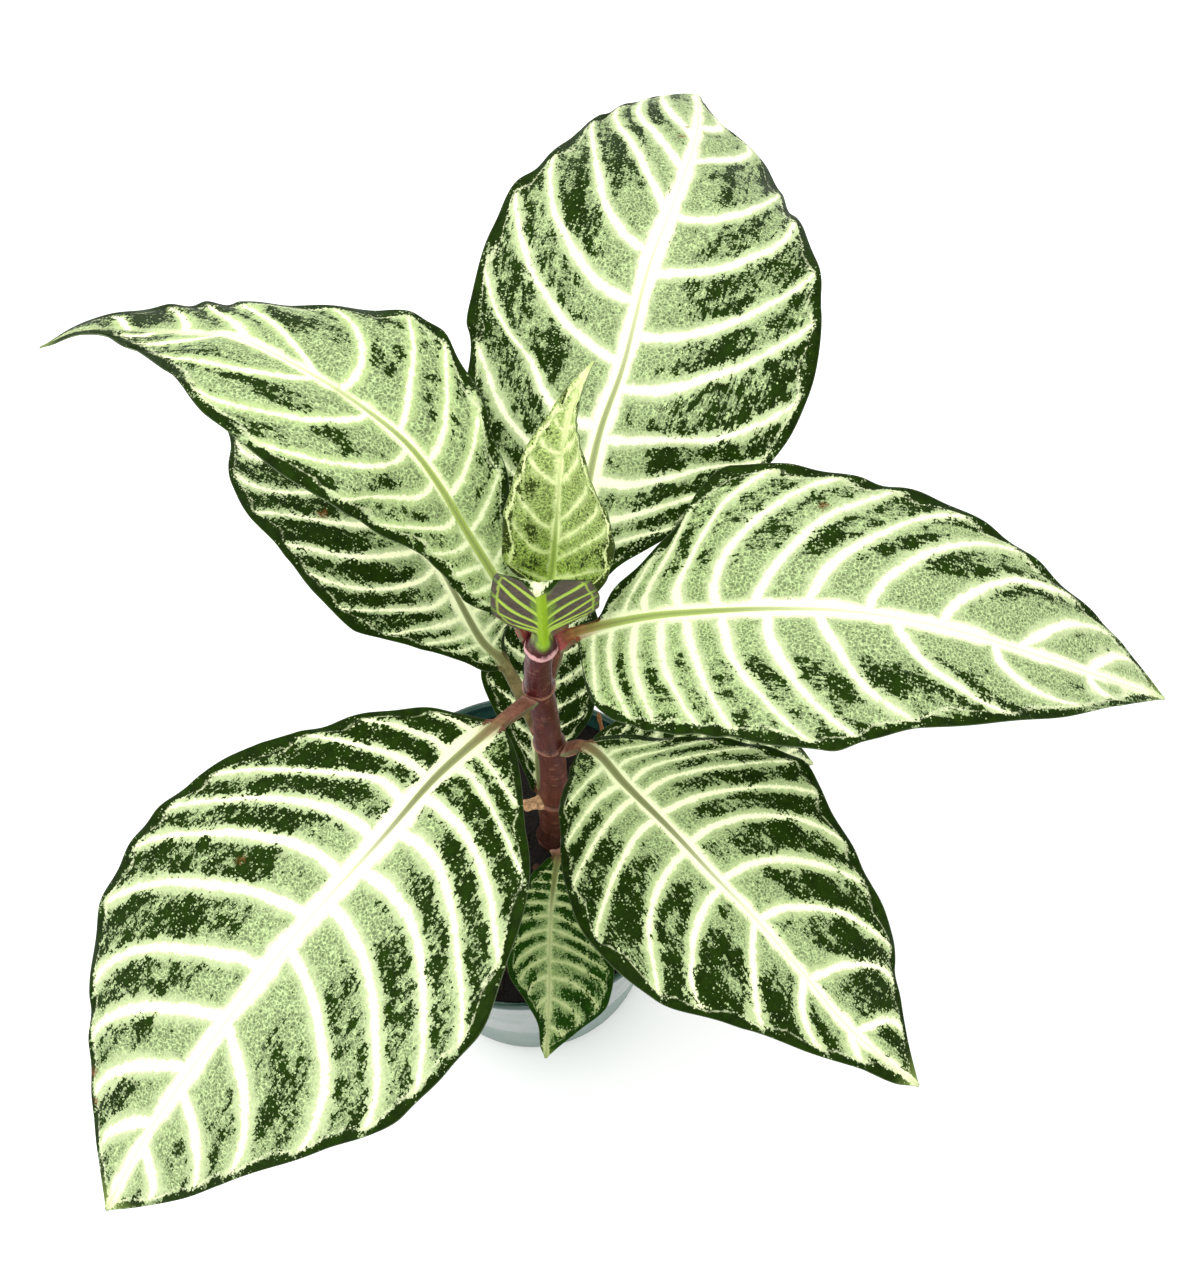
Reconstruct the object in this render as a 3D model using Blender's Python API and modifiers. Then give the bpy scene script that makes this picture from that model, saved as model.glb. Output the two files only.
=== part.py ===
"""A zebra plant in a tapered plastic nursery pot.

The origin is on the floor under the middle of the pot, +Z is up and -Y is the front. Sizes below are in
millimetres and degrees, and MM turns them into Blender's metres. Each leaf is one closed loft, from the foot of
its stalk to its tip. The plant stands in the soil and the soil fills the pot.
"""
import math

import bmesh
import bpy
import numpy as np

MM = 0.001
GAP = 0.3

# Pot: outer radii, heights and wall
POT_HEIGHT = 111.0
RIM_RADIUS = 60.0
RIM_BAND = 6.0
RIM_WALL = 2.6
SHOULDER_RADIUS = 57.6
BASE_RADIUS = 45.8
WALL = 1.8
FLOOR_THICKNESS = 2.4
FOOT_ROUND = 2.0
CORNER = 3.0
POT_STEPS = 64
HOLE_COUNT = 6
HOLE_RADIUS = 4.0
HOLE_CIRCLE = 30.0

# Soil: its height at the wall and in the middle, and the socket that the stem stands in
SOIL_EDGE = 104.0
SOIL_MIDDLE = 99.5
SOCKET_FLOOR = 74.4

# Stem: height, x, y and radius from its buried foot to its tip, and the heights of its leaf nodes
STEM = (
    (75, 10.1, 6.6, 5.2),
    (100, 10.2, 6.3, 5.3),
    (106, 10.4, 5.7, 5.2),
    (144, 12.0, 4.4, 4.8),
    (172, 12.1, 3.8, 4.4),
    (190, 11.4, 3.5, 4.3),
    (222, 10.6, 1.2, 4.0),
    (235, 9.9, 0.3, 4.0),
    (250, 10.2, -0.8, 3.9),
    (262, 11.5, -1.8, 3.8),
    (267, 11.9, -1.8, 3.0),
    (274, 12.0, -1.8, 2.0),
)
NODE_HEIGHTS = (106, 144, 190, 235, 262)
NODE_SWELLING = 0.7
NODE_LENGTH = 3.0
STEM_STEP = 3.0

# Leaves: half widths are given at these fractions of the blade's length, base to tip
STATIONS = (0, 0.03, 0.08, 0.15, 0.25, 0.37, 0.5, 0.63, 0.76, 0.87, 0.95, 1)
BLADE_THICKNESS = 0.8
EDGE_THICKNESS = 0.3
TIP_HALF_WIDTH = 0.5
STALK_HALF_WIDTH = 1.9
STALK_FOOT_HALF_WIDTH = 2.6
STALK_DEPTH = 2.6
RIB_DEPTH = 1.0
STALK_SECTIONS = 4
BLADE_SECTIONS = 18
CURVE_STEPS = 30
BEND_STEPS = 8
# The stalk's depth has faded into the rib's by this fraction of the blade
STALK_FADE = 0.08
# Where a half's points lie between the edge of its rib and the edge of its blade
ACROSS = (0, 0.34, 0.7, 1)

# node is the height of the stem node that the leaf grows from. midrib is the line of the blade's midrib in
# (x, y, z). left and right are the half widths, seen from above along the leaf. bend rows are fraction, then for
# the left and right half how steeply it leaves the midrib and how much it turns by its edge.
LEAVES = {
    "leaf_young_back": dict(
        node=270,
        midrib=((13, 4, 275), (15, 8, 284), (16, 12, 294), (17, 16, 306), (18, 19, 319), (20, 22, 331),
                (23, 24, 342), (26, 26, 348)),
        left=(0, 3, 7, 11, 14, 14, 12, 9, 5, 3, 1, 0),
        right=(0, 5, 10, 15, 18, 19, 16, 11, 6, 3, 1, 0),
        bend=((0, 38, -16, 38, -16), (1, 25, -10, 25, -10)),
    ),
    "leaf_young_front": dict(
        node=270,
        midrib=((12.4, -6, 276), (12.8, -8, 287), (13, -9.5, 298), (13, -11, 308), (13, -13, 314),
                (13, -15, 316), (12.5, -17, 314)),
        left=(0, 1.5, 5, 12, 15, 15, 14.5, 13.5, 12, 7, 3, 0),
        right=(0, 1, 3, 7, 11, 13, 13, 12.5, 11, 7, 3, 0),
        bend=((0, 8, -8, 12, -8), (0.7, 14, -12, 20, -5), (1, 10, -20, 10, -10)),
    ),
    "leaf_left": dict(
        node=262,
        midrib=((6, 3, 269), (-6, 14, 291), (-13, 21, 304), (-20, 27, 313), (-29, 32, 320), (-43, 40, 325),
                (-63, 53, 324), (-76, 60, 318), (-92, 68, 309), (-116, 80, 296), (-133, 84, 284)),
        left=(0, 5, 11, 13, 23, 29, 26, 16, 7, 2, 2, 0),
        right=(0, 3, 8, 14, 20, 31, 25, 18, 14, 8, 3, 0),
        bend=((0, 12, -10, 28, -10), (0.25, 20, -30, 28, -30), (0.45, 25, -38, 8, -30), (0.6, 26, -36, -8, -20),
              (0.8, 24, -30, -6, -10), (1, 15, -20, -10, -10)),
    ),
    "leaf_right": dict(
        node=262,
        midrib=((21, 0, 266), (38, -1, 276), (54, -2, 281), (74, -4, 286), (94, -5, 286), (118, -7, 281),
                (147, -9, 268), (170, -9, 254), (186, -8, 243)),
        left=(0, 1, 9, 19, 39, 39, 39, 34, 25, 16, 7, 0),
        right=(0, 20, 29, 34, 36, 39, 31, 24, 16, 8, 3, 0),
        bend=((0, 34, -10, 10, -20), (0.25, 34, -25, 8, -20), (0.5, 15, -22, 6, -20), (1, 15, -10, 10, -10)),
    ),
    "leaf_front_left": dict(
        node=235,
        midrib=((0, -19, 250), (-15, -37, 256), (-29, -56, 257), (-49, -77, 249), (-70, -98, 233),
                (-91, -119, 211), (-106, -136, 190)),
        left=(0, 10, 21, 32, 44, 54, 52.5, 41.5, 28.5, 18.5, 8, 0),
        right=(0, 8, 18, 29, 41, 49, 53.5, 50.5, 37, 20, 8, 0),
        bend=((0, 12, -14, 12, -14), (1, 4, -14, 4, -14)),
    ),
    "leaf_back": dict(
        node=235,
        midrib=((17, 11, 253), (21, 28, 267), (27, 53, 282), (34, 70, 293), (41, 96, 303), (50, 123, 306),
                (56, 150, 300), (58, 172, 292), (59, 189, 282), (60, 203, 271)),
        left=(0, 8, 16, 24, 41, 47, 47, 40, 34, 21, 9, 0),
        right=(0, 5, 12, 29, 45, 52, 48, 34, 26, 3.5, 1, 0),
        bend=((0, 12, -12, 12, -14), (0.25, 8, -14, 6, -16), (0.5, 6, -14, 6, -14), (0.75, 4, -14, -20, -14),
              (1, 4, -14, -30, -14)),
    ),
    "leaf_back_left": dict(
        node=190,
        midrib=((-1, 18, 212), (-9, 24, 220), (-21, 42, 231), (-35, 57, 238), (-51, 75, 239), (-71, 94, 235),
                (-90, 114, 226)),
        left=(0, 5, 9, 20, 33, 35, 34, 33.5, 28, 17, 12, 0),
        right=(0, 3, 12, 19, 28, 34, 35, 32, 25, 18, 10, 0),
        bend=((0, 12, -14, 12, -14), (1, 4, -14, 4, -14)),
    ),
    "leaf_front_right": dict(
        node=190,
        midrib=((22, -2, 199), (28, -8, 203), (35, -19, 208), (48, -35, 212), (60, -49, 212), (71, -60, 209),
                (84, -73, 202), (99, -87, 190), (120, -100, 176)),
        left=(0, 6, 15, 24, 35, 44, 39, 34, 29, 19, 7, 0),
        right=(0, 9, 14, 23, 34, 40, 37.5, 26, 15, 7, 4, 0),
        bend=((0, 12, -14, 12, -14), (1, 4, -14, 4, -14)),
    ),
    "leaf_low_right": dict(
        node=144,
        midrib=((21, 8, 155), (34, 10, 164), (54, 11, 171), (73, 10, 172), (89, 10, 166), (99, 10, 159)),
        left=(0, 5, 9, 12, 14, 16, 15, 14, 12, 8, 4, 0),
        right=(0, 3, 7, 11, 15, 18, 19, 17, 12, 7, 3, 0),
        bend=((0, 10, -12, 10, -12), (1, 4, -12, 4, -12)),
    ),
    "leaf_low_back": dict(
        node=106,
        midrib=((6.5, 14, 126), (5.5, 22, 140), (5.5, 34, 152), (6.5, 49, 160), (7.5, 68, 162),
                (8.5, 87, 158)),
        left=(0, 3, 4, 6, 9, 15, 20, 20, 19, 13, 6, 0),
        right=(0, 2, 4, 7, 13, 20, 22, 22, 19, 13, 5, 0),
        bend=((0, 25, -10, 25, -10), (1, 8, -10, 8, -10)),
    ),
    "leaf_low_front": dict(
        node=106,
        midrib=((12.4, -4, 109), (11.4, -14, 114), (10.4, -31, 120), (10.4, -46, 122), (10.4, -59, 120),
                (9.4, -77, 113)),
        left=(0, 3, 5, 7, 9, 11, 16, 22, 20, 11, 4, 0),
        right=(0, 3, 5, 8, 11, 14, 15, 14, 8, 3, 2, 0),
        bend=((0, 20, -14, 20, -14), (1, 8, -14, 8, -14)),
    ),
}

# Stub of a fallen leaf: the height of its stem node, direction seen from above, rise above level, length
STUB_NODE = 144
STUB_AZIMUTH = 205
STUB_RISE = 25
STUB_LENGTH = 6.0
STUB_RADIUS = 2.6

COLOURS = {
    "pot": ((0.012, 0.045, 0.035), 0.2),
    "soil": ((0.018, 0.012, 0.008), 0.95),
    "stem": ((0.10, 0.02, 0.015), 0.45),
    "stub": ((0.55, 0.40, 0.26), 0.8),
    "young": ((0.30, 0.42, 0.12), 0.4),
    "leaf": ((0.22, 0.33, 0.16), 0.4),
}


def clear_scene():
    for old in list(bpy.data.objects):
        bpy.data.objects.remove(old, do_unlink=True)


def new_collection(name):
    collection = bpy.data.collections.new(name)
    bpy.context.scene.collection.children.link(collection)
    return collection


def new_material(name, kind):
    colour, roughness = COLOURS[kind]
    material = bpy.data.materials.new(name)
    material.use_nodes = True
    shader = material.node_tree.nodes["Principled BSDF"]
    shader.inputs["Base Color"].default_value = (*colour, 1)
    shader.inputs["Roughness"].default_value = roughness
    shader.inputs["Metallic"].default_value = 0
    material.diffuse_color = (*colour, 1)
    return material


def new_object(name, data, collection, kind=None):
    thing = bpy.data.objects.new(name, data)
    collection.objects.link(thing)
    if kind:
        data.materials.append(new_material(name + "_finish", kind))
    return thing


def smooth_rows(rows, at):
    """Values at the given places, read smoothly and with no overshoot from rows that start with their place."""
    rows = np.asarray(rows, float)
    place, value = rows[:, 0], rows[:, 1:]
    gap = np.diff(place)[:, None]
    rate = np.diff(value, axis=0) / gap
    before, after = rate[:-1], rate[1:]
    same_way = before * after > 0
    slope = np.vstack([rate[:1], np.zeros_like(before), rate[-1:]])
    slope[1:-1][same_way] = (2 * before * after / np.where(same_way, before + after, 1))[same_way]
    i = np.clip(np.searchsorted(place, at, side="right") - 1, 0, len(gap) - 1)
    t = (np.asarray(at)[:, None] - place[i][:, None]) / gap[i]
    return (value[i] * (1 + 2 * t) * (1 - t) ** 2 + slope[i] * gap[i] * t * (1 - t) ** 2
            + value[i + 1] * t**2 * (3 - 2 * t) - slope[i + 1] * gap[i] * t**2 * (1 - t))


def curve_through(points):
    """A fine smooth line through all the points, with the same number of steps from each to the next."""
    p = np.asarray(points, float)
    p = np.vstack([2 * p[0] - p[1], p, 2 * p[-1] - p[-2]])
    t = np.linspace(0, 1, CURVE_STEPS, endpoint=False)[:, None]
    runs = [
        (2 * b + (c - a) * t + (2 * a - 5 * b + 4 * c - d) * t**2 + (3 * b - a - 3 * c + d) * t**3) / 2
        for a, b, c, d in zip(p, p[1:], p[2:], p[3:])
    ]
    return np.vstack([*runs, p[-2:-1]])


def unit(vectors):
    return vectors / np.linalg.norm(vectors, axis=-1, keepdims=True)


def lengths_along(line):
    return np.concatenate([[0], np.cumsum(np.linalg.norm(np.diff(line, axis=0), axis=1))])


def read_line(line, place, at):
    return np.stack([np.interp(at, place, column) for column in line.T], -1)


def stem_at(height):
    """x, y and radius of the stem at a height, without the swelling of its nodes."""
    return smooth_rows(STEM, np.array([float(height)]))[0]


def stem_surface(height, toward):
    """The point just off the stem at this height, on the side that faces the point toward."""
    x, y, radius = stem_at(height)
    away = unit(np.array([toward[0] - x, toward[1] - y]))
    reach = radius + NODE_SWELLING + GAP
    return np.array([x + away[0] * reach, y + away[1] * reach, height])


def leaf_frames(line):
    """The directions to the leaf's left and up from its face, along its line. Its foot stands upright."""
    along = unit(np.gradient(line, axis=0))
    along[0] = unit(along[0] * (1, 1, 0))
    left = unit(np.cross((0, 0, 1), along))
    return left, np.cross(along, left)


def half_section(half, rib_half, rise, turn):
    """Sideways and upward travel from the midrib to the points of one half, which bends as it goes out."""
    inner = min(rib_half, half * 0.6)
    distances = inner + (half - inner) * np.array(ACROSS)
    middles = (np.arange(BEND_STEPS) + 0.5) / BEND_STEPS
    angles = np.radians(rise + turn * np.outer(distances / half, middles))
    return distances * np.cos(angles).mean(axis=1), distances * np.sin(angles).mean(axis=1)


def section_ring(left_half, right_half, skin, rib_depth):
    """A closed ring of (sideways, upward) points: the face from left edge to right edge, then the back."""
    under = np.array([skin] * (len(ACROSS) - 1) + [EDGE_THICKNESS])
    faces, backs = [], []
    for (out, height), sign in ((left_half, 1), (right_half, -1)):
        faces.append(np.column_stack([sign * out, height]))
        backs.append(np.column_stack([sign * out, height - under]))
    middle = [[(0, 0)], [(0, -skin - rib_depth)]]
    return np.vstack([faces[0][::-1], middle[0], faces[1], backs[1][::-1], middle[1], backs[0]])


def leaf_stations(foot_length, whole_length):
    """Places of the sections along the leaf, and each one's fraction of the blade (0 on the stalk)."""
    stalk = np.linspace(0, foot_length, STALK_SECTIONS, endpoint=False)
    blade = (1 - np.cos(np.linspace(0, math.pi, BLADE_SECTIONS))) / 2
    places = np.concatenate([stalk, foot_length + blade * (whole_length - foot_length)])
    return places, np.concatenate([np.zeros(STALK_SECTIONS), blade])


def leaf_rings(leaf):
    line = curve_through([stem_surface(leaf["node"], leaf["midrib"][0]), *leaf["midrib"]])
    place = lengths_along(line)
    stalk_length = place[CURVE_STEPS]
    at, fractions = leaf_stations(stalk_length, place[-1])
    centre, left, up = (read_line(values, place, at) for values in (line, *leaf_frames(line)))
    widths = smooth_rows(np.column_stack([STATIONS, leaf["left"], leaf["right"]]), fractions)
    bends = smooth_rows(leaf["bend"], fractions)
    flare = (STALK_FOOT_HALF_WIDTH - STALK_HALF_WIDTH) * np.clip(1 - at / stalk_length, 0, 1)
    least = (STALK_HALF_WIDTH + flare) * (1 - fractions) + TIP_HALF_WIDTH * fractions
    fade = np.sqrt(1 - fractions)
    rib_half = STALK_HALF_WIDTH * (0.3 + 0.7 * fade)
    skin = BLADE_THICKNESS * (0.5 + 0.5 * fade)
    rib_depth = RIB_DEPTH * fade + (STALK_DEPTH - RIB_DEPTH) * np.clip(1 - fractions / STALK_FADE, 0, 1)
    rings = []
    for i, (half_left, half_right) in enumerate(np.hypot(widths, least[:, None])):
        ring = section_ring(
            half_section(half_left, rib_half[i], *bends[i, :2]),
            half_section(half_right, rib_half[i], *bends[i, 2:]),
            skin[i],
            rib_depth[i],
        )
        rings.append(centre[i] + ring[:, :1] * left[i] + ring[:, 1:] * up[i])
    return np.array(rings) * MM


def loft_mesh(name, rings):
    """A closed mesh through rings of points, with its two ends capped."""
    count, size = rings.shape[:2]
    faces = []
    for i in range(count - 1):
        for j in range(size):
            k = (j + 1) % size
            faces.append((i * size + j, i * size + k, (i + 1) * size + k, (i + 1) * size + j))
    faces.append(tuple(range(size))[::-1])
    faces.append(tuple((count - 1) * size + j for j in range(size)))
    mesh = bpy.data.meshes.new(name)
    mesh.from_pydata(rings.reshape(-1, 3).tolist(), [], faces)
    shell = bmesh.new()
    shell.from_mesh(mesh)
    bmesh.ops.recalc_face_normals(shell, faces=shell.faces)
    bmesh.ops.triangulate(shell, faces=shell.faces)
    shell.to_mesh(mesh)
    shell.free()
    mesh.shade_smooth()
    return mesh


def make_leaf(name, leaf, collection):
    kind = "young" if "young" in name else "leaf"
    return new_object(name, loft_mesh(name, leaf_rings(leaf)), collection, kind)


def tube(name, points, radii, collection, kind, resolution=3):
    """A round rod along the points (in mm), as thick at each as its radius says."""
    data = bpy.data.curves.new(name, "CURVE")
    data.dimensions = "3D"
    data.bevel_depth = MM
    data.bevel_resolution = resolution
    data.use_fill_caps = True
    spline = data.splines.new("POLY")
    spline.points.add(len(points) - 1)
    for target, point, radius in zip(spline.points, points, radii):
        target.co = (*(np.asarray(point) * MM), 1)
        target.radius = radius
    return new_object(name, data, collection, kind)


def make_stem(collection):
    heights = np.arange(STEM[0][0], STEM[-1][0] + STEM_STEP / 2, STEM_STEP)
    heights = np.unique(np.concatenate([heights, NODE_HEIGHTS]).round(3))
    shape = smooth_rows(STEM, heights)
    swelling = sum(NODE_SWELLING * np.exp(-(((heights - node) / NODE_LENGTH) ** 2)) for node in NODE_HEIGHTS)
    points = np.column_stack([shape[:, :2], heights])
    return tube("stem", points, shape[:, 2] + swelling, collection, "stem", resolution=4)


def make_stub(collection):
    turn, tilt = math.radians(STUB_AZIMUTH), math.radians(STUB_RISE)
    flat = np.array([math.cos(turn), math.sin(turn), 0])
    foot = stem_surface(STUB_NODE, stem_at(STUB_NODE)[:2] + flat[:2])
    way = flat * math.cos(tilt) + np.array([0, 0, math.sin(tilt)])
    points = [foot, foot + flat] + [foot + flat + way * STUB_LENGTH * share for share in (0.3, 0.8, 1)]
    radii = [STUB_RADIUS * share for share in (1, 0.95, 0.8, 0.75, 0.35)]
    return tube("stub_left", points, radii, collection, "stub", resolution=2)


def arc(centre_x, centre_z, radius, start, end, count):
    angles = np.radians(np.linspace(start, end, count))
    return [(centre_x + radius * math.cos(a), centre_z + radius * math.sin(a)) for a in angles]


def inner_radius(height):
    """Radius of the inside of the pot's tapered wall."""
    return BASE_RADIUS + (SHOULDER_RADIUS - BASE_RADIUS) * height / (POT_HEIGHT - RIM_BAND) - WALL


def pot_profile():
    """Half section, from the middle of the inner floor over the rim and down the outside to the underside."""
    lip = RIM_WALL / 2
    band_floor = POT_HEIGHT - RIM_BAND
    corner = FLOOR_THICKNESS + CORNER
    lip_arc = arc(RIM_RADIUS - lip, POT_HEIGHT - lip, lip, 180, 0, 7)
    foot_arc = arc(BASE_RADIUS - FOOT_ROUND, FOOT_ROUND, FOOT_ROUND, 0, -90, 4)
    return [
        (0, FLOOR_THICKNESS),
        (inner_radius(corner) - CORNER, FLOOR_THICKNESS),
        (inner_radius(corner), corner),
        (inner_radius(band_floor - 2), band_floor - 2),
        (RIM_RADIUS - RIM_WALL, band_floor + 2),
        *lip_arc,
        (RIM_RADIUS - 0.4, band_floor + 0.6),
        (RIM_RADIUS - 1, band_floor),
        (SHOULDER_RADIUS, band_floor - 1),
        *foot_arc,
        (0, 0),
    ]


def turned(name, profile, collection, kind):
    """A solid turned round the Z axis from a half section that runs down its outer side."""
    mesh = bpy.data.meshes.new(name)
    points = [(x * MM, 0, z * MM) for x, z in profile]
    mesh.from_pydata(points, [(i, i + 1) for i in range(len(points) - 1)], [])
    thing = new_object(name, mesh, collection, kind)
    screw = thing.modifiers.new("turn", "SCREW")
    screw.steps = screw.render_steps = POT_STEPS
    screw.use_merge_vertices = True
    screw.merge_threshold = 0.00001
    screw.use_smooth_shade = True
    return thing


def cylinder(name, x, y, low, high, radius, collection, segments=24):
    shell = bmesh.new()
    bmesh.ops.create_cone(
        shell, cap_ends=True, segments=segments, radius1=radius * MM, radius2=radius * MM, depth=(high - low) * MM
    )
    mesh = bpy.data.meshes.new(name)
    shell.to_mesh(mesh)
    shell.free()
    thing = new_object(name, mesh, collection)
    thing.location = (x * MM, y * MM, (low + high) / 2 * MM)
    thing.hide_render = True
    thing.display_type = "WIRE"
    return thing


def cut(thing, cutter):
    difference = thing.modifiers.new("cut_" + cutter.name, "BOOLEAN")
    difference.operation = "DIFFERENCE"
    difference.solver = "EXACT"
    difference.object = cutter


def make_pot(parts, cutters):
    pot = turned("pot", pot_profile(), parts, "pot")
    for i in range(HOLE_COUNT):
        turn = 2 * math.pi * (i + 0.5) / HOLE_COUNT
        x, y = HOLE_CIRCLE * math.cos(turn), HOLE_CIRCLE * math.sin(turn)
        cut(pot, cylinder(f"drain_{i}", x, y, -3, FLOOR_THICKNESS + 3, HOLE_RADIUS, cutters))
    return pot


def make_soil(parts, cutters):
    """The soil follows the inside of the pot and dips a little toward the stem."""
    floor = FLOOR_THICKNESS + GAP
    corner = floor + CORNER
    edge = inner_radius(SOIL_EDGE) - GAP
    profile = [
        (0, SOIL_MIDDLE),
        (edge * 0.4, SOIL_MIDDLE + 0.4),
        (edge * 0.8, SOIL_EDGE - 0.8),
        (edge, SOIL_EDGE),
        (inner_radius(corner) - GAP, corner),
        (inner_radius(corner) - GAP - CORNER, floor),
        (0, floor),
    ]
    soil = turned("soil", profile, parts, "soil")
    x, y, radius = stem_at(SOIL_MIDDLE)
    foot_x, foot_y, foot_radius = stem_at(STEM[0][0])
    reach = max(radius, foot_radius) + math.hypot(x - foot_x, y - foot_y) / 2 + GAP
    middle = ((x + foot_x) / 2, (y + foot_y) / 2)
    cut(soil, cylinder("stem_socket", *middle, SOCKET_FLOOR, SOIL_MIDDLE + 6, reach, cutters))
    return soil


def main():
    clear_scene()
    parts = new_collection("potted_zebra_plant")
    cutters = new_collection("cutters")
    cutters.hide_render = True
    make_pot(parts, cutters)
    make_soil(parts, cutters)
    make_stem(parts)
    for name, leaf in LEAVES.items():
        make_leaf(name, leaf, parts)
    make_stub(parts)


main()
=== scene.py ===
"""A zebra plant in a nursery pot, in full detail, on a white studio floor.

The origin is on the floor under the middle of the pot, +Z is up and -Y is the front. Sizes are in
millimetres unless a comment says otherwise, and MM turns them into metres. Each leaf is one closed skin,
from the foot of its stalk to its tip. Numbers stored on its points say where each lies on the leaf, and the
leaf's material draws the veins and the green between them from those numbers. Colours are red, green and
blue from 0 to 1.
"""
import math
import bmesh
import bpy
import numpy as np
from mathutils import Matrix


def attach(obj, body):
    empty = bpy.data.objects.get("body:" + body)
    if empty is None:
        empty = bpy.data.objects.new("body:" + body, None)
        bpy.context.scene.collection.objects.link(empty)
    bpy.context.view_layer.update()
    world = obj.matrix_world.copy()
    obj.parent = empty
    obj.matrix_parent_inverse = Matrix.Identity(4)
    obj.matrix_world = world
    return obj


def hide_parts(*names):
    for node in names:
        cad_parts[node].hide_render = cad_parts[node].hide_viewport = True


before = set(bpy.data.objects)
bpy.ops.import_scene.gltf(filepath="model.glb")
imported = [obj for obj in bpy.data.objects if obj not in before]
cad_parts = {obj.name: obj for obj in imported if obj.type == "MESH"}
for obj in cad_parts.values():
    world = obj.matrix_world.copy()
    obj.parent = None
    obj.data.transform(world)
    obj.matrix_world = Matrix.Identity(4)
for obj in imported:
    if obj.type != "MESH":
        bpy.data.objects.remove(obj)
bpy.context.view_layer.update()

MM = 0.001
# Room between a stalk's foot and the stem
GAP = 0.3

# Camera: place in metres, tilt from straight down in degrees, and lens in millimetres
CAMERA_PLACE = (0.0275, -0.1975, 0.619)
CAMERA_TILT = 29
CAMERA_LENS = 42.2

# Leaves: half widths are given at these fractions of the blade's length, base to tip
STATIONS = (0, 0.03, 0.08, 0.15, 0.25, 0.37, 0.5, 0.63, 0.76, 0.87, 0.95, 1)
# Vein rows say how far along the blade a vein is, in percent, at these fractions of the half width
VEIN_PLACES = (0.1, 0.5, 0.9)
CURVE_STEPS = 30
BEND_STEPS = 8


def even_veins(count, lean):
    """Rows for veins that nobody sees well: evenly spaced and swept forward."""
    step = 90 / count
    return tuple((6 + i * step, 6 + i * step + lean * 0.35, 6 + i * step + lean) for i in range(count))


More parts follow.
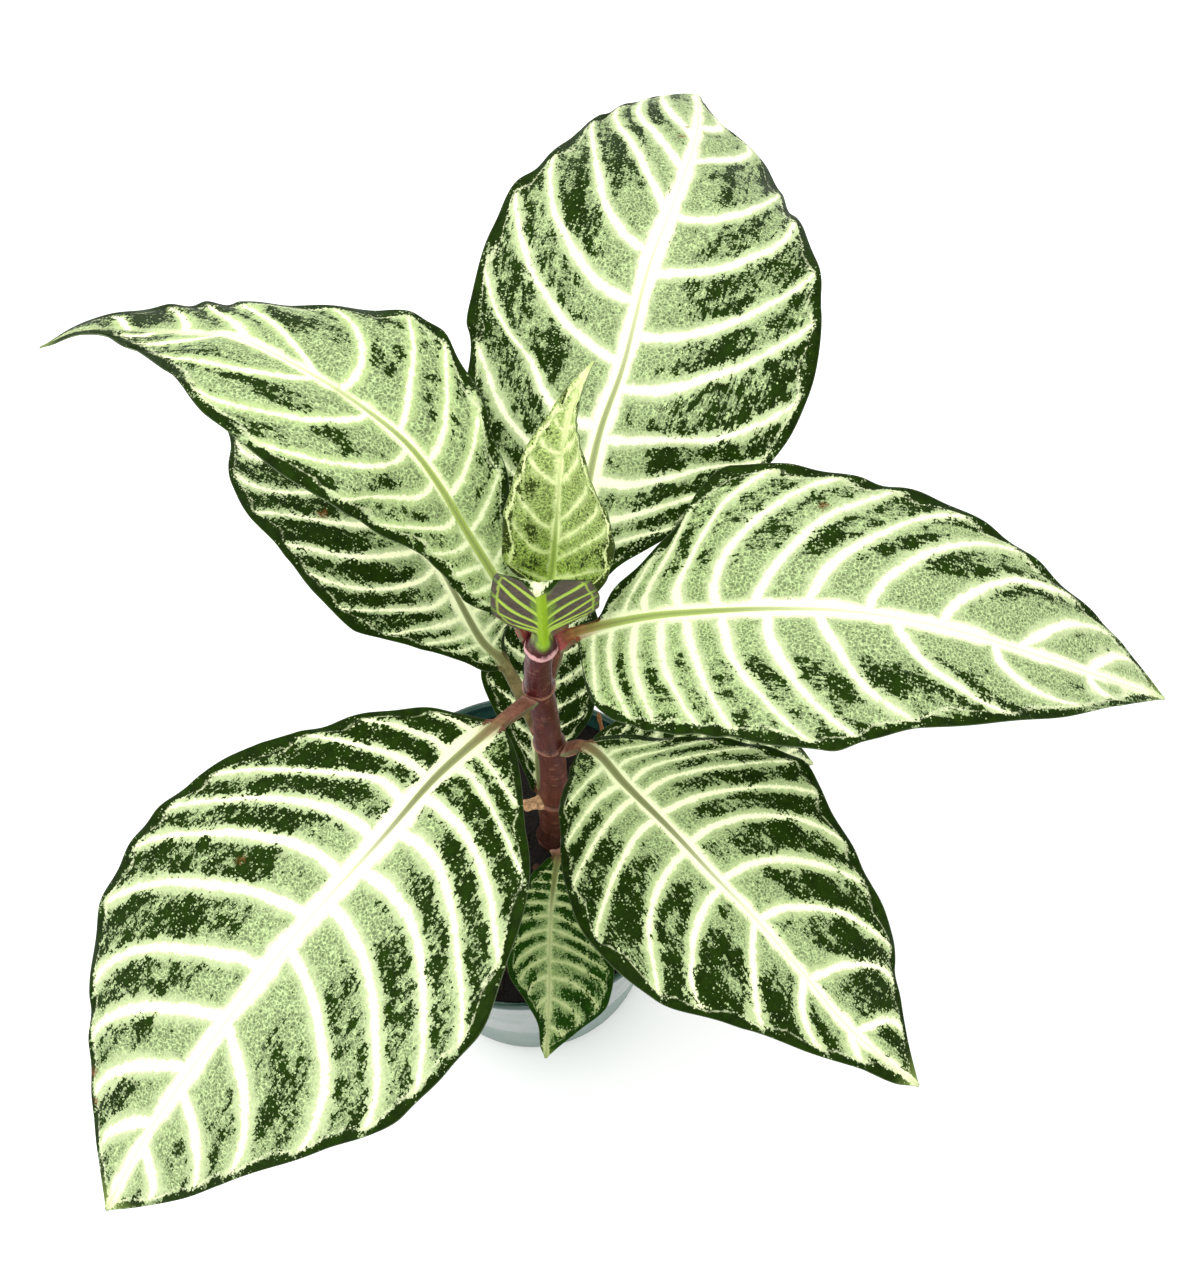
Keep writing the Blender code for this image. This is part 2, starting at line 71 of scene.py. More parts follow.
# node is the height of the stem node that the leaf grows from. midrib is the line of the blade's midrib in
# (x, y, z). left and right are the half widths, seen from above along the leaf. bend rows are fraction, then
# for the left and right half how steeply it leaves the midrib and how much it turns by its edge, in degrees.
LEAVES = {
    "leaf_young_back": dict(
        node=270,
        midrib=((13, 4, 275), (15, 8, 284), (16, 12, 294), (17, 16, 306), (18, 19, 319), (20, 22, 331),
            (23, 24, 342), (26, 26, 348)),
        left=(0, 3, 7, 11, 14, 14, 12, 9, 5, 3, 1, 0),
        right=(0, 5, 10, 15, 18, 19, 16, 11, 6, 3, 1, 0),
        bend=((0, 38, -16, 38, -16), (1, 25, -10, 25, -10)),
        veins_left=((10, 12, 18), (22, 26, 38), (31, 39, 50), (51, 56, 62), (63, 65, 70), (72, 74, 78),
            (85, 88, 92)),
        veins_right=((12, 18, 26), (20, 31, 44), (28, 40, 54), (37, 51, 62), (54, 64, 73), (66, 72, 78),
            (74.5, 77, 81), (84, 88, 92)),
    ),
    "leaf_young_front": dict(
        node=270,
        midrib=((12.4, -6, 276), (12.8, -8, 287), (13, -9.5, 298), (13, -11, 308), (13, -13, 314),
            (13, -15, 316), (12.5, -17, 314)),
        left=(0, 1.5, 5, 12, 15, 15, 14.5, 13.5, 12, 7, 3, 0),
        right=(0, 1, 3, 7, 11, 13, 13, 12.5, 11, 7, 3, 0),
        bend=((0, 8, -8, 12, -8), (0.7, 14, -12, 20, -5), (1, 10, -20, 10, -10)),
        veins_left=((3, 6, 12), (6, 11, 20), (10, 17, 30), (17, 28, 44), (30, 44, 58), (48, 62, 74)),
        veins_right=((3, 6, 12), (7, 12, 22), (12, 20, 34), (22, 34, 48), (36, 50, 64), (54, 66, 78)),
    ),
    "leaf_left": dict(
        node=262,
        midrib=((6, 3, 269), (-6, 14, 291), (-13, 21, 304), (-20, 27, 313), (-29, 32, 320), (-43, 40, 325),
            (-63, 53, 324), (-76, 60, 318), (-92, 68, 309), (-116, 80, 296), (-133, 84, 284)),
        left=(0, 5, 11, 13, 23, 29, 26, 16, 7, 2, 2, 0),
        right=(0, 3, 8, 14, 20, 31, 25, 18, 14, 8, 3, 0),
        bend=((0, 12, -10, 28, -10), (0.25, 20, -30, 28, -30), (0.45, 25, -38, 8, -30),
            (0.6, 26, -36, -8, -20), (0.8, 24, -30, -6, -10), (1, 15, -20, -10, -10)),
        veins_left=((4, 4.5, 6), (7, 7.5, 9), (10, 11, 12), (14, 14.5, 16.5), (18, 19, 24), (23.5, 25, 32),
            (29, 32, 42), (36, 41, 53), (44.5, 53, 68), (60, 68, 80), (74, 78, 88), (88, 91, 95)),
        veins_right=((4, 5, 6), (9, 10, 12), (15, 17, 20), (21, 23, 27), (26, 28.5, 33), (31.5, 34.5, 39),
            (40, 42, 50), (46, 57, 64), (57, 64, 70), (68, 72, 77), (80, 84, 88)),
    ),
    "leaf_right": dict(
        node=262,
        midrib=((21, 0, 266), (38, -1, 276), (54, -2, 281), (74, -4, 286), (94, -5, 286), (118, -7, 281),
            (147, -9, 268), (170, -9, 254), (186, -8, 243)),
        left=(0, 1, 9, 19, 39, 39, 39, 34, 25, 16, 7, 0),
        right=(0, 20, 29, 34, 36, 39, 31, 24, 16, 8, 3, 0),
        bend=((0, 34, -10, 10, -20), (0.25, 34, -25, 8, -20), (0.5, 15, -22, 6, -20),
            (1, 15, -10, 10, -10)),
        veins_left=((5, 5.5, 7), (8.5, 10, 14), (12, 13, 18), (17, 19, 29), (22.5, 26, 38), (28.5, 35, 46),
            (36, 43, 57), (45, 52, 67), (56, 64, 79), (70, 78, 88), (83, 88, 94)),
        veins_right=((3.5, 4, 5), (6.5, 7, 10), (10.5, 11, 13.5), (14.5, 15.5, 20), (18, 20.5, 25),
            (23.5, 26.5, 34), (30, 33, 41), (37.5, 42, 50), (48.5, 54.5, 66), (64.5, 69, 82), (82, 84, 90)),
    ),
    "leaf_front_left": dict(
        node=235,
        midrib=((0, -19, 250), (-15, -37, 256), (-29, -56, 257), (-49, -77, 249), (-70, -98, 233),
            (-91, -119, 211), (-106, -136, 190)),
        left=(0, 10, 21, 32, 44, 54, 52.5, 41.5, 28.5, 18.5, 8, 0),
        right=(0, 8, 18, 29, 41, 49, 53.5, 50.5, 37, 20, 8, 0),
        bend=((0, 12, -14, 12, -14), (1, 4, -14, 4, -14)),
        veins_left=((7, 8, 10), (11, 12, 19), (18, 20, 27), (24, 26, 36), (31, 33, 44), (38, 42, 53),
            (47, 52, 63), (62, 67, 76), (74, 78, 84), (86, 89, 93)),
        veins_right=((5, 5, 7), (10, 10.5, 14), (15, 16, 20), (20, 22, 34), (27, 30, 42), (34, 38, 50),
            (42, 48, 60), (52, 60, 72), (62, 70, 79), (72, 79, 86), (83, 88, 93)),
    ),
    "leaf_back": dict(
        node=235,
        midrib=((17, 11, 253), (21, 28, 267), (27, 53, 282), (34, 70, 293), (41, 96, 303), (50, 123, 306),
            (56, 150, 300), (58, 172, 292), (59, 189, 282), (60, 203, 271)),
        left=(0, 8, 16, 24, 41, 47, 47, 40, 34, 21, 9, 0),
        right=(0, 5, 12, 29, 45, 52, 48, 34, 26, 3.5, 1, 0),
        bend=((0, 12, -12, 12, -14), (0.25, 8, -14, 6, -16), (0.5, 6, -14, 6, -14),
            (0.75, 4, -14, -20, -14), (1, 4, -14, -30, -14)),
        veins_left=((6, 7, 10), (12, 14, 20), (18, 21, 28), (25, 28, 40), (34, 39, 50), (42, 47, 59),
            (49, 57, 74), (57, 69, 82), (66, 77, 89), (75, 86, 94)),
        veins_right=((5, 7, 9), (9, 11, 14), (13.5, 15, 20), (18.5, 20, 27), (24, 27, 33), (31, 34.5, 42),
            (37.5, 41, 50), (46, 50, 59), (55, 58.5, 67), (67, 73, 80), (77, 81, 87), (87, 90, 94)),
    ),
    "leaf_back_left": dict(
        node=190,
        midrib=((-1, 18, 212), (-9, 24, 220), (-21, 42, 231), (-35, 57, 238), (-51, 75, 239),
            (-71, 94, 235), (-90, 114, 226)),
        left=(0, 5, 9, 20, 33, 35, 34, 33.5, 28, 17, 12, 0),
        right=(0, 3, 12, 19, 28, 34, 35, 32, 25, 18, 10, 0),
        bend=((0, 12, -14, 12, -14), (1, 4, -14, 4, -14)),
        veins_left=((5, 6, 7), (8.5, 9, 11), (11.5, 12, 14), (15, 16, 19), (20.5, 22, 32), (27, 29.5, 41),
            (33, 39, 49), (41, 49, 63), (51, 60, 76), (64, 74, 86), (79, 86, 93)),
        veins_right=((6, 7, 9), (10, 11, 14), (15, 16, 20), (20.5, 22, 32), (27, 29.5, 41), (34, 39, 49),
            (42, 49, 62), (52, 60, 74), (65, 74, 85), (79, 86, 93)),
    ),
    "leaf_front_right": dict(
        node=190,
        midrib=((22, -2, 199), (28, -8, 203), (35, -19, 208), (48, -35, 212), (60, -49, 212),
            (71, -60, 209), (84, -73, 202), (99, -87, 190), (120, -100, 176)),
        left=(0, 6, 15, 24, 35, 44, 39, 34, 29, 19, 7, 0),
        right=(0, 9, 14, 23, 34, 40, 37.5, 26, 15, 7, 4, 0),
        bend=((0, 12, -14, 12, -14), (1, 4, -14, 4, -14)),
        veins_left=((7, 8, 12), (11, 12, 19), (16, 17.5, 26), (20, 23, 33), (26, 31, 42), (34, 39, 52),
            (44, 50, 62), (54, 61, 76), (69, 74, 84), (83, 87, 93)),
        veins_right=((9, 11, 14), (15, 16, 19), (19.5, 21.5, 26), (26, 29, 36), (35, 39, 48),
            (44.5, 48, 57), (54.5, 61, 68), (68, 73, 80), (82, 85, 88)),
    ),
    "leaf_low_right": dict(
        node=144,
        midrib=((21, 8, 155), (34, 10, 164), (54, 11, 171), (73, 10, 172), (89, 10, 166), (99, 10, 159)),
        left=(0, 5, 9, 12, 14, 16, 15, 14, 12, 8, 4, 0),
        right=(0, 3, 7, 11, 15, 18, 19, 17, 12, 7, 3, 0),
        bend=((0, 10, -12, 10, -12), (1, 4, -12, 4, -12)),
        veins_left=even_veins(10, 12),
        veins_right=even_veins(10, 12),
    ),
    "leaf_low_back": dict(
        node=106,
        midrib=((6.5, 14, 126), (5.5, 22, 140), (5.5, 34, 152), (6.5, 49, 160), (7.5, 68, 162),
            (8.5, 87, 158)),
        left=(0, 3, 4, 6, 9, 15, 20, 20, 19, 13, 6, 0),
        right=(0, 2, 4, 7, 13, 20, 22, 22, 19, 13, 5, 0),
        bend=((0, 25, -10, 25, -10), (1, 8, -10, 8, -10)),
        veins_left=even_veins(9, 12),
        veins_right=even_veins(9, 12),
    ),
    "leaf_low_front": dict(
        node=106,
        midrib=((12.4, -4, 109), (11.4, -14, 114), (10.4, -31, 120), (10.4, -46, 122), (10.4, -59, 120),
            (9.4, -77, 113)),
        left=(0, 3, 5, 7, 9, 11, 16, 22, 20, 11, 4, 0),
        right=(0, 3, 5, 8, 11, 14, 15, 14, 8, 3, 2, 0),
        bend=((0, 20, -14, 20, -14), (1, 8, -14, 8, -14)),
        veins_left=((12, 12.5, 14), (18, 18.5, 20), (24, 25, 27), (30, 31.5, 34), (37, 40, 46),
            (44, 48, 55), (51, 56, 64), (59, 62.5, 70), (66, 70, 79), (75, 80, 87), (87, 89, 93)),
        veins_right=((12, 12.5, 14), (18, 19, 20), (24, 24.5, 25.5), (30.5, 31.5, 33), (37, 39, 42),
            (44, 47, 53), (50.5, 55, 62), (57.5, 62, 70), (65.5, 69, 77), (74.5, 78, 84), (87, 88.5, 91)),
    ),
}

# Looks that a leaf doesn't state are the ones of PLAIN_LOOK. vein and rib are the half widths of the pale
# bands on the veins and the midrib, rib_end is the fraction of the blade where the midrib's has faded, and
# halo is how far the paler green reaches past them. dark_left and dark_right say how much dark green each
# half has near the stalk, in the middle and near the tip. dark_start and dark_full are the fractions of the
# half width where it begins and where it is full, base_reach says how much nearer to the midrib that is at
# the base, and margin how much darker the edge is. arch is how far inside the edge the veins' arches run,
# and arch_light how bright they are. ridge_end and base_end are the fractions where the olive ridge on the
# midrib and the base's own colours have faded. patch is brown between the veins of the underside, or None.
# Spots are brown marks: place along the blade, place to the left of the midrib, and radius.
PLAIN_LOOK = dict(
    vein=1.2,
    rib=2.6,
    rib_end=1.3,
    halo=3.4,
    dark_left=(0.6, 0.5, 0.45),
    dark_right=(0.6, 0.5, 0.45),
    dark_start=0.05,
    dark_full=0.5,
    ridge_end=0.42,
    white=(0.97, 1.0, 0.66),
    pale=(0.46, 0.54, 0.29),
    sage=(0.20, 0.26, 0.12),
    dark=(0.0075, 0.020, 0.0002),
    margin=0.75,
    arch=1.9,
    arch_light=0.45,
    base_white=(0.74, 0.82, 0.48),
    base_sage=(0.19, 0.26, 0.10),
    base_end=0.3,
    base_reach=0.0,
    tip=(0.30, 0.42, 0.10),
    ridge=(0.15, 0.17, 0.05),
    stalk=(0.21, 0.085, 0.055),
    foot=(0.42, 0.22, 0.17),
    under=(0.24, 0.33, 0.14),
    under_vein=(0.44, 0.55, 0.28),
    under_rib=(0.44, 0.52, 0.26),
    patch=None,
    spots=(),
)
LOOKS = {
    "leaf_young_back": dict(
        vein=0.55, rib=0.9, halo=1.1, dark_left=(0.5, 0.5, 0.3), dark_right=(0.5, 0.5, 0.3), dark_start=0.1,
        margin=0.3, arch=0.9, arch_light=0.9, ridge_end=0.5, base_white=(0.5, 0.66, 0.16), base_end=0.45,
        base_sage=(0.14, 0.23, 0.012), ridge=(0.26, 0.38, 0.06), stalk=(0.26, 0.4, 0.05),
        white=(0.82, 0.9, 0.46), pale=(0.42, 0.52, 0.2), sage=(0.22, 0.29, 0.09), dark=(0.03, 0.045, 0.008),
    ),
    "leaf_young_front": dict(
        vein=0.5, rib=1.0, halo=0.8, base_end=0.6, ridge_end=0.9, stalk=(0.22, 0.38, 0.02),
        under=(0.13, 0.22, 0.03), under_vein=(0.4, 0.56, 0.08), under_rib=(0.26, 0.42, 0.01),
        patch=(0.075, 0.058, 0.045), foot=(0.07, 0.02, 0.015),
    ),
    "leaf_left": dict(
        vein=1.0, rib=1.3, rib_end=0.8, halo=2.4, dark_left=(0.28, 0.4, 0.95), dark_right=(0.32, 0.38, 0.9),
        ridge=(0.24, 0.33, 0.05), ridge_end=0.6, base_end=0.45, stalk=(0.22, 0.05, 0.04),
        pale=(0.42, 0.53, 0.23), foot=(0.35, 0.07, 0.07),
    ),
    "leaf_right": dict(
        vein=1.5, rib=2.0, halo=2.5, dark_left=(0.36, 0.5, 0.42), dark_right=(0.42, 0.46, 0.34),
        dark_start=0.15, ridge=(0.22, 0.3, 0.05), ridge_end=0.5, base_end=0.4, stalk=(0.24, 0.06, 0.03),
        foot=(0.38, 0.09, 0.09), spots=((68, 28, 2.2),),
    ),
    "leaf_front_left": dict(
        vein=1.9, rib=2.9, halo=3.1, dark_left=(0.72, 0.44, 0.34), dark_right=(0.88, 0.58, 0.42),
        ridge_end=0.42, base_reach=0.25, spots=((76, -24, 1.6), (150, -23, 2.2), (156, -18, 1.1)),
    ),
    "leaf_back": dict(
        vein=1.6, rib=2.6, halo=2.7, dark_left=(0.5, 0.48, 0.56), dark_right=(0.64, 0.54, 0.4),
        ridge_end=0.6, ridge=(0.26, 0.31, 0.11), spots=((160, 4.0, 1.5), (167, 2.6, 0.9)),
    ),
    "leaf_back_left": dict(
        vein=1.1, rib=1.6, halo=2.2, dark_left=(0.7, 0.78, 0.75), dark_right=(0.6, 0.6, 0.6),
        stalk=(0.2, 0.16, 0.07), spots=((72, 17, 2.2),),
    ),
    "leaf_front_right": dict(
        vein=1.3, rib=1.8, halo=2.6, dark_left=(0.5, 0.66, 0.8), dark_right=(0.54, 0.66, 0.72),
        dark_start=0.1, dark_full=0.5, ridge_end=0.6, pale=(0.44, 0.53, 0.26),
    ),
    "leaf_low_right": dict(vein=0.7, rib=1.0, dark_left=(0.9, 0.9, 0.9), dark_right=(0.9, 0.9, 0.9)),
    "leaf_low_back": dict(vein=0.7, rib=1.0, dark_left=(0.9, 0.9, 0.9), dark_right=(0.9, 0.9, 0.9)),
    # This leaf's white, base white, pale, sage and tip colours are darker than the other leaves': painted
    # shade from the leaves above it
    "leaf_low_front": dict(
        vein=0.5, rib=0.7, halo=1.2, dark_left=(1.1, 0.75, 0.8), dark_right=(1.1, 0.75, 0.8),
        white=(0.5, 0.56, 0.28), base_white=(0.42, 0.5, 0.22), pale=(0.28, 0.36, 0.14),
        sage=(0.13, 0.19, 0.07), base_end=0.1, dark=(0.007, 0.03, 0.0004), base_reach=0.35,
        tip=(0.2, 0.32, 0.04),
    ),
}

# Stem: height, x, y and radius from its buried foot to its tip, and the heights of its leaf nodes
STEM = (
    (75, 10.1, 6.6, 5.2),
    (100, 10.2, 6.3, 5.3),
    (106, 10.4, 5.7, 5.2),
    (144, 12.0, 4.4, 4.8),
    (172, 12.1, 3.8, 4.4),
    (190, 11.4, 3.5, 4.3),
    (222, 10.6, 1.2, 4.0),
    (235, 9.9, 0.3, 4.0),
    (250, 10.2, -0.8, 3.9),
    (262, 11.5, -1.8, 3.8),
    (267, 11.9, -1.8, 3.0),
    (274, 12.0, -1.8, 2.0),
)
NODE_HEIGHTS = (106, 144, 190, 235, 262)
NODE_SWELLING = 0.7
NODE_LENGTH = 3.0
STEM_COLUMNS = 48
# The bark's streaks are drawn as on a stem of this radius
STEM_PAINT_RADIUS = 4.2

# Stub of a fallen leaf: the height of its stem node, direction seen from above, and rise above level in
# degrees. Its outline runs out and back into its hollow end: distance out, radius, and how ragged it is.
STUB_NODE = 144
STUB_AZIMUTH = 205
STUB_RISE = 25
STUB_COLUMNS = 40
STUB_OUTLINE = (
    (0, 2.7, 0),
    (1.2, 2.5, 0),
    (2.6, 2.1, 0),
    (4.2, 1.9, 0.3),
    (5.8, 2.0, 0.8),
    (6.9, 2.1, 1.0),
    (6.6, 1.7, 0.9),
    (5.6, 1.2, 0.4),
    (5.2, 0.5, 0),
)

# Pot: outer radii, heights and wall, its drainage holes, and the top of the painted shaded-floor reflection
# on its wall
POT_HEIGHT = 111.0
RIM_RADIUS = 60.0
RIM_BAND = 6.0
RIM_WALL = 2.6
SHOULDER_RADIUS = 57.6
BASE_RADIUS = 45.8
WALL = 1.8
FLOOR_THICKNESS = 2.4
FOOT_ROUND = 2.0
CORNER = 3.0
HOLE_COUNT = 6
HOLE_RADIUS = 4.0
HOLE_CIRCLE = 30.0
# Below this height the wall carries a dull grey-green band, a painted reflection of the shaded floor by the
# foot
SHADED_REFLECTION_TOP = 43.0

# Soil: its height at the wall and in the middle, its gap to the wall, and the waves that make its surface
# rough: depth, waves along x and y in radians a mm, and phase
SOIL_EDGE = 104.0
SOIL_MIDDLE = 99.5
SOIL_GAP = 0.1
SOIL_COLUMNS = 220
SOIL_WAVES = ((0.5, 0.19, 0.23, 1.0), (0.3, 0.53, 0.41, 2.0), (0.2, 1.1, 1.3, 0.5), (0.12, 2.3, 2.1, 4))

# Crumbs on the soil: how many, and which are fibres or perlite, and the ends of a sliver of bark
CRUMBS = 620
CRUMB_SEED = 7
FIBRE_EVERY = 5
PERLITE_EVERY = 29
STICK_FOOT = (30.0, 38.0, 101.0)
STICK_TOP = (27.5, 48.0, 119.5)

# Fine leaf mesh: sections along its stalk and blade, points from the midrib to each edge and how many of
# them are on the rib, and its thickness and least widths
STALK_ROWS = 18
BLADE_ROWS = 170
HALF_POINTS = 46
RIB_POINTS = 6
BLADE_THICKNESS = 0.5
EDGE_THICKNESS = 0.2
TIP_HALF_WIDTH = 0.5
STALK_HALF_WIDTH = 1.9
STALK_FOOT_HALF_WIDTH = 2.6
STALK_DEPTH = 3.2
RIB_DEPTH = 1.3
VEIN_DEPTH = 0.25

# The blade bulges between two veins by a share of their spacing, and its edge waves by EDGE_WAVE on a blade
# that is WAVE_LENGTH long
BULGE_SHARE = 0.035
MOST_BULGE = 0.7
EDGE_WAVE = 0.8
WAVE_LENGTH = 180

SPOT_BROWN = (0.13, 0.055, 0.015)
FACE_EDGE = (0.10, 0.13, 0.07)
UNDERSIDE_EDGE = (0.03, 0.045, 0.01)
FLOOR_REACH = 3000.0


def smooth_rows(rows, at):
    """Values at these places, read smoothly and with no overshoot from rows that start with their place."""
    rows = np.asarray(rows, float)
    place, value = rows[:, 0], rows[:, 1:]
    gap = np.diff(place)[:, None]
    rate = np.diff(value, axis=0) / gap
    before, after = rate[:-1], rate[1:]
    same_way = before * after > 0
    slope = np.vstack([rate[:1], np.zeros_like(before), rate[-1:]])
    slope[1:-1][same_way] = (2 * before * after / np.where(same_way, before + after, 1))[same_way]
    i = np.clip(np.searchsorted(place, at, side="right") - 1, 0, len(gap) - 1)
    t = (np.asarray(at)[:, None] - place[i][:, None]) / gap[i]
    return (value[i] * (1 + 2 * t) * (1 - t) ** 2 + slope[i] * gap[i] * t * (1 - t) ** 2
            + value[i + 1] * t**2 * (3 - 2 * t) - slope[i + 1] * gap[i] * t**2 * (1 - t))


def curve_through(points):
    """A fine smooth line through all the points, with the same number of steps from each to the next."""
    p = np.asarray(points, float)
    p = np.vstack([2 * p[0] - p[1], p, 2 * p[-1] - p[-2]])
    t = np.linspace(0, 1, CURVE_STEPS, endpoint=False)[:, None]
    runs = [
        (2 * b + (c - a) * t + (2 * a - 5 * b + 4 * c - d) * t**2 + (3 * b - a - 3 * c + d) * t**3) / 2
        for a, b, c, d in zip(p, p[1:], p[2:], p[3:])
    ]
    return np.vstack([*runs, p[-2:-1]])


def unit(vectors):
    return vectors / np.linalg.norm(vectors, axis=-1, keepdims=True)


def ease(value, low, high):
    """0 below low, 1 above high and smooth between."""
    t = np.clip((value - low) / (high - low), 0, 1)
    return t * t * (3 - 2 * t)


def lengths_along(line):
    return np.concatenate([[0], np.cumsum(np.linalg.norm(np.diff(line, axis=0), axis=1))])


def read_line(line, place, at):
    return np.stack([np.interp(at, place, column) for column in line.T], -1)


def stem_at(height):
    return smooth_rows(STEM, np.array([float(height)]))[0]


def stem_surface(height, toward):
    """The point just off the stem at this height, on the side that faces the point toward."""
    x, y, radius = stem_at(height)
    away = unit(np.array([toward[0] - x, toward[1] - y]))
    reach = radius + NODE_SWELLING + GAP
    return np.array([x + away[0] * reach, y + away[1] * reach, height])


def leaf_frames(line):
    """The directions to the leaf's left and up from its face, along its line. Its foot stands upright."""
    along = unit(np.gradient(line, axis=0))
    along[0] = unit(along[0] * (1, 1, 0))
    left = unit(np.cross((0, 0, 1), along))
    return left, np.cross(along, left)


def vein_numbers(rows, along, across, length, half):
    """Which vein each point is at, as a number that is whole on a vein, and the space between veins there."""
    rows = np.asarray(rows, float) / 100
    rows = np.vstack([2 * rows[0] - rows[1], rows, 2 * rows[-1] - rows[-2]])
    # Each vein is a parabola through its three places
    curve, slope, start = np.linalg.solve(np.vander(VEIN_PLACES), rows.T)[..., None, None]
    place = curve * across**2 + slope * across + start
    lean = 2 * curve * across + slope
    count = len(rows) - 2
    behind = np.clip((along >= place).sum(axis=0) - 1, 0, count)[None]
    here = np.take_along_axis(place, behind, 0)[0]
    gap = np.maximum(np.take_along_axis(place, behind + 1, 0)[0] - here, 0.005)
    number = np.clip(behind[0] + (along - here) / gap, 0.5, count + 0.5)
    tilt = np.take_along_axis(lean, behind, 0)[0] * length / np.maximum(half, 1)
    return number, gap * length / np.sqrt(1 + tilt**2)


class LeafShape:
    """The lines and grids that a leaf's skin is made from. Rows of a grid run from the stalk to the tip."""

    def __init__(self, leaf):
        line = curve_through([stem_surface(leaf["node"], leaf["midrib"][0]), *leaf["midrib"]])
        place = lengths_along(line)
        self.stalk_length = place[CURVE_STEPS]
        self.length = place[-1] - self.stalk_length
        blade = np.linspace(0, 1, BLADE_ROWS)
        blade = 0.75 * blade + 0.25 * (1 - np.cos(math.pi * blade)) / 2
        stalk = np.linspace(-self.stalk_length, 0, STALK_ROWS, endpoint=False) / self.length
        self.along = np.concatenate([stalk, blade])
        at = self.stalk_length + self.along * self.length
        self.centre, self.left, self.up = (read_line(v, place, at) for v in (line, *leaf_frames(line)))
        fraction = np.clip(self.along, 0, 1)
        widths = smooth_rows(np.column_stack([STATIONS, leaf["left"], leaf["right"]]), fraction)
        flare = (STALK_FOOT_HALF_WIDTH - STALK_HALF_WIDTH) * np.clip(1 - at / self.stalk_length, 0, 1)
        least = (STALK_HALF_WIDTH + flare) * (1 - fraction) + TIP_HALF_WIDTH * fraction
        self.halves = np.hypot(widths, least[:, None])
        self.bends = smooth_rows(leaf["bend"], fraction)
        self.fraction = fraction
        self.rib_half = STALK_HALF_WIDTH * (0.3 + 0.7 * np.sqrt(1 - fraction))
        self.veins = (leaf["veins_left"], leaf["veins_right"])

    def half_grid(self, side):
        """One half's grids: distance from the midrib, place across, vein number and vein spacing."""
        half = self.halves[:, side, None]
        inner = np.minimum(self.rib_half[:, None], half * 0.6)
        near = inner * np.linspace(0, 1, RIB_POINTS, endpoint=False)
        far = inner + (half - inner) * np.linspace(0, 1, HALF_POINTS - RIB_POINTS)
        distance = np.hstack([near, far])
        across = distance / half
        along = np.broadcast_to(self.fraction[:, None], across.shape)
        number, spacing = vein_numbers(self.veins[side], along, across, self.length, half)
        half = np.broadcast_to(half, across.shape)
        return dict(distance=distance, across=across, number=number, spacing=spacing, half=half)

    def half_heights(self, side, grid):
        """Sideways and upward travel over one half, with its bulges between the veins and its wavy edge."""
        rise, turn = self.bends[:, 2 * side, None], self.bends[:, 2 * side + 1, None]
        middles = (np.arange(BEND_STEPS) + 0.5) / BEND_STEPS
        angles = np.radians(rise[..., None] + turn[..., None] * grid["across"][..., None] * middles)
        sideways = grid["distance"] * np.cos(angles).mean(axis=2)
        upward = grid["distance"] * np.sin(angles).mean(axis=2)
        on_blade = ease(self.along, 0, 0.06)[:, None] * ease(1 - self.along, 0, 0.05)[:, None]
        between = np.sin(math.pi * grid["number"]) ** 2
        bulge = BULGE_SHARE * grid["spacing"] * between * ease(grid["across"], 0.02, 0.25)
        wave = EDGE_WAVE * np.cos(2 * math.pi * grid["number"] + 0.6 * side) * ease(grid["across"], 0.6, 1)
        wave = wave * ease(1 - self.along, 0.02, 0.3)[:, None]
        size = self.length / WAVE_LENGTH
        return sideways, upward + on_blade * (np.minimum(bulge, MOST_BULGE) + wave * size)

    def skin_depth(self, grid):
        """How thick the leaf is: thick and round along the stalk and midrib, thin at the edges."""
        fade = np.sqrt(1 - self.fraction)[:, None]
        stalk = ease(-self.along, -0.07, 0.0)[:, None]
        ridge = np.exp(-((grid["distance"] / (0.62 * self.rib_half[:, None])) ** 2))
        veins = VEIN_DEPTH * np.cos(math.pi * grid["number"]) ** 8 * ease(1 - grid["across"], 0, 0.4)
        blade = BLADE_THICKNESS + RIB_DEPTH * fade * ridge + veins * ease(self.along, 0, 0.1)[:, None]
        blade = np.minimum(blade, EDGE_THICKNESS + (1 - grid["across"]) * grid["half"] * 0.8)
        round_stalk = EDGE_THICKNESS + STALK_DEPTH * np.sqrt(np.clip(1 - grid["across"] ** 2, 0, 1))
        return blade * (1 - stalk) + round_stalk * stalk

    def crown(self, grid):
        """How much the stalk and the midrib's ridge stand above the leaf's face."""
        stalk = ease(-self.along, -0.10, 0.0)[:, None]
        ridge = np.exp(-((grid["distance"] / (0.45 * self.rib_half[:, None])) ** 2))
        ridge_height = 0.35 * ease(0.6 - self.along, 0, 0.5)[:, None] * ease(self.along, 0, 0.05)[:, None]
        return 0.4 * np.sqrt(np.clip(1 - grid["across"] ** 2, 0, 1)) * stalk + ridge_height * ridge


def leaf_grids(shape):
    """Top and bottom points of a leaf in mm, and the numbers that its material reads, all as grids."""
    tops, bottoms, numbers = [], [], []
    for side, sign in ((0, 1), (1, -1)):
        grid = shape.half_grid(side)
        sideways, upward = shape.half_heights(side, grid)
        base = shape.centre[:, None] + sign * sideways[..., None] * shape.left[:, None]
        crown, depth = shape.crown(grid), shape.skin_depth(grid)
        tops.append(base + (upward + crown)[..., None] * shape.up[:, None])
        bottoms.append(base + (upward - depth)[..., None] * shape.up[:, None])
        along = np.broadcast_to(shape.along[:, None], grid["across"].shape)
        along_mm = along * shape.length
        numbers.append(dict(
            place=np.stack([along, grid["across"], grid["distance"]], -1),
            vein=np.stack([grid["number"], grid["spacing"], (1 - grid["across"]) * grid["half"]], -1),
            flat=np.stack([along_mm, sign * grid["distance"], along_mm + shape.stalk_length], -1),
        ))

    def join(pair):
        return np.concatenate([pair[0][:, ::-1], pair[1][:, 1:]], axis=1)

    grids = {name: join([half[name] for half in numbers]) for name in numbers[0]}
    return join(tops), join(bottoms), grids


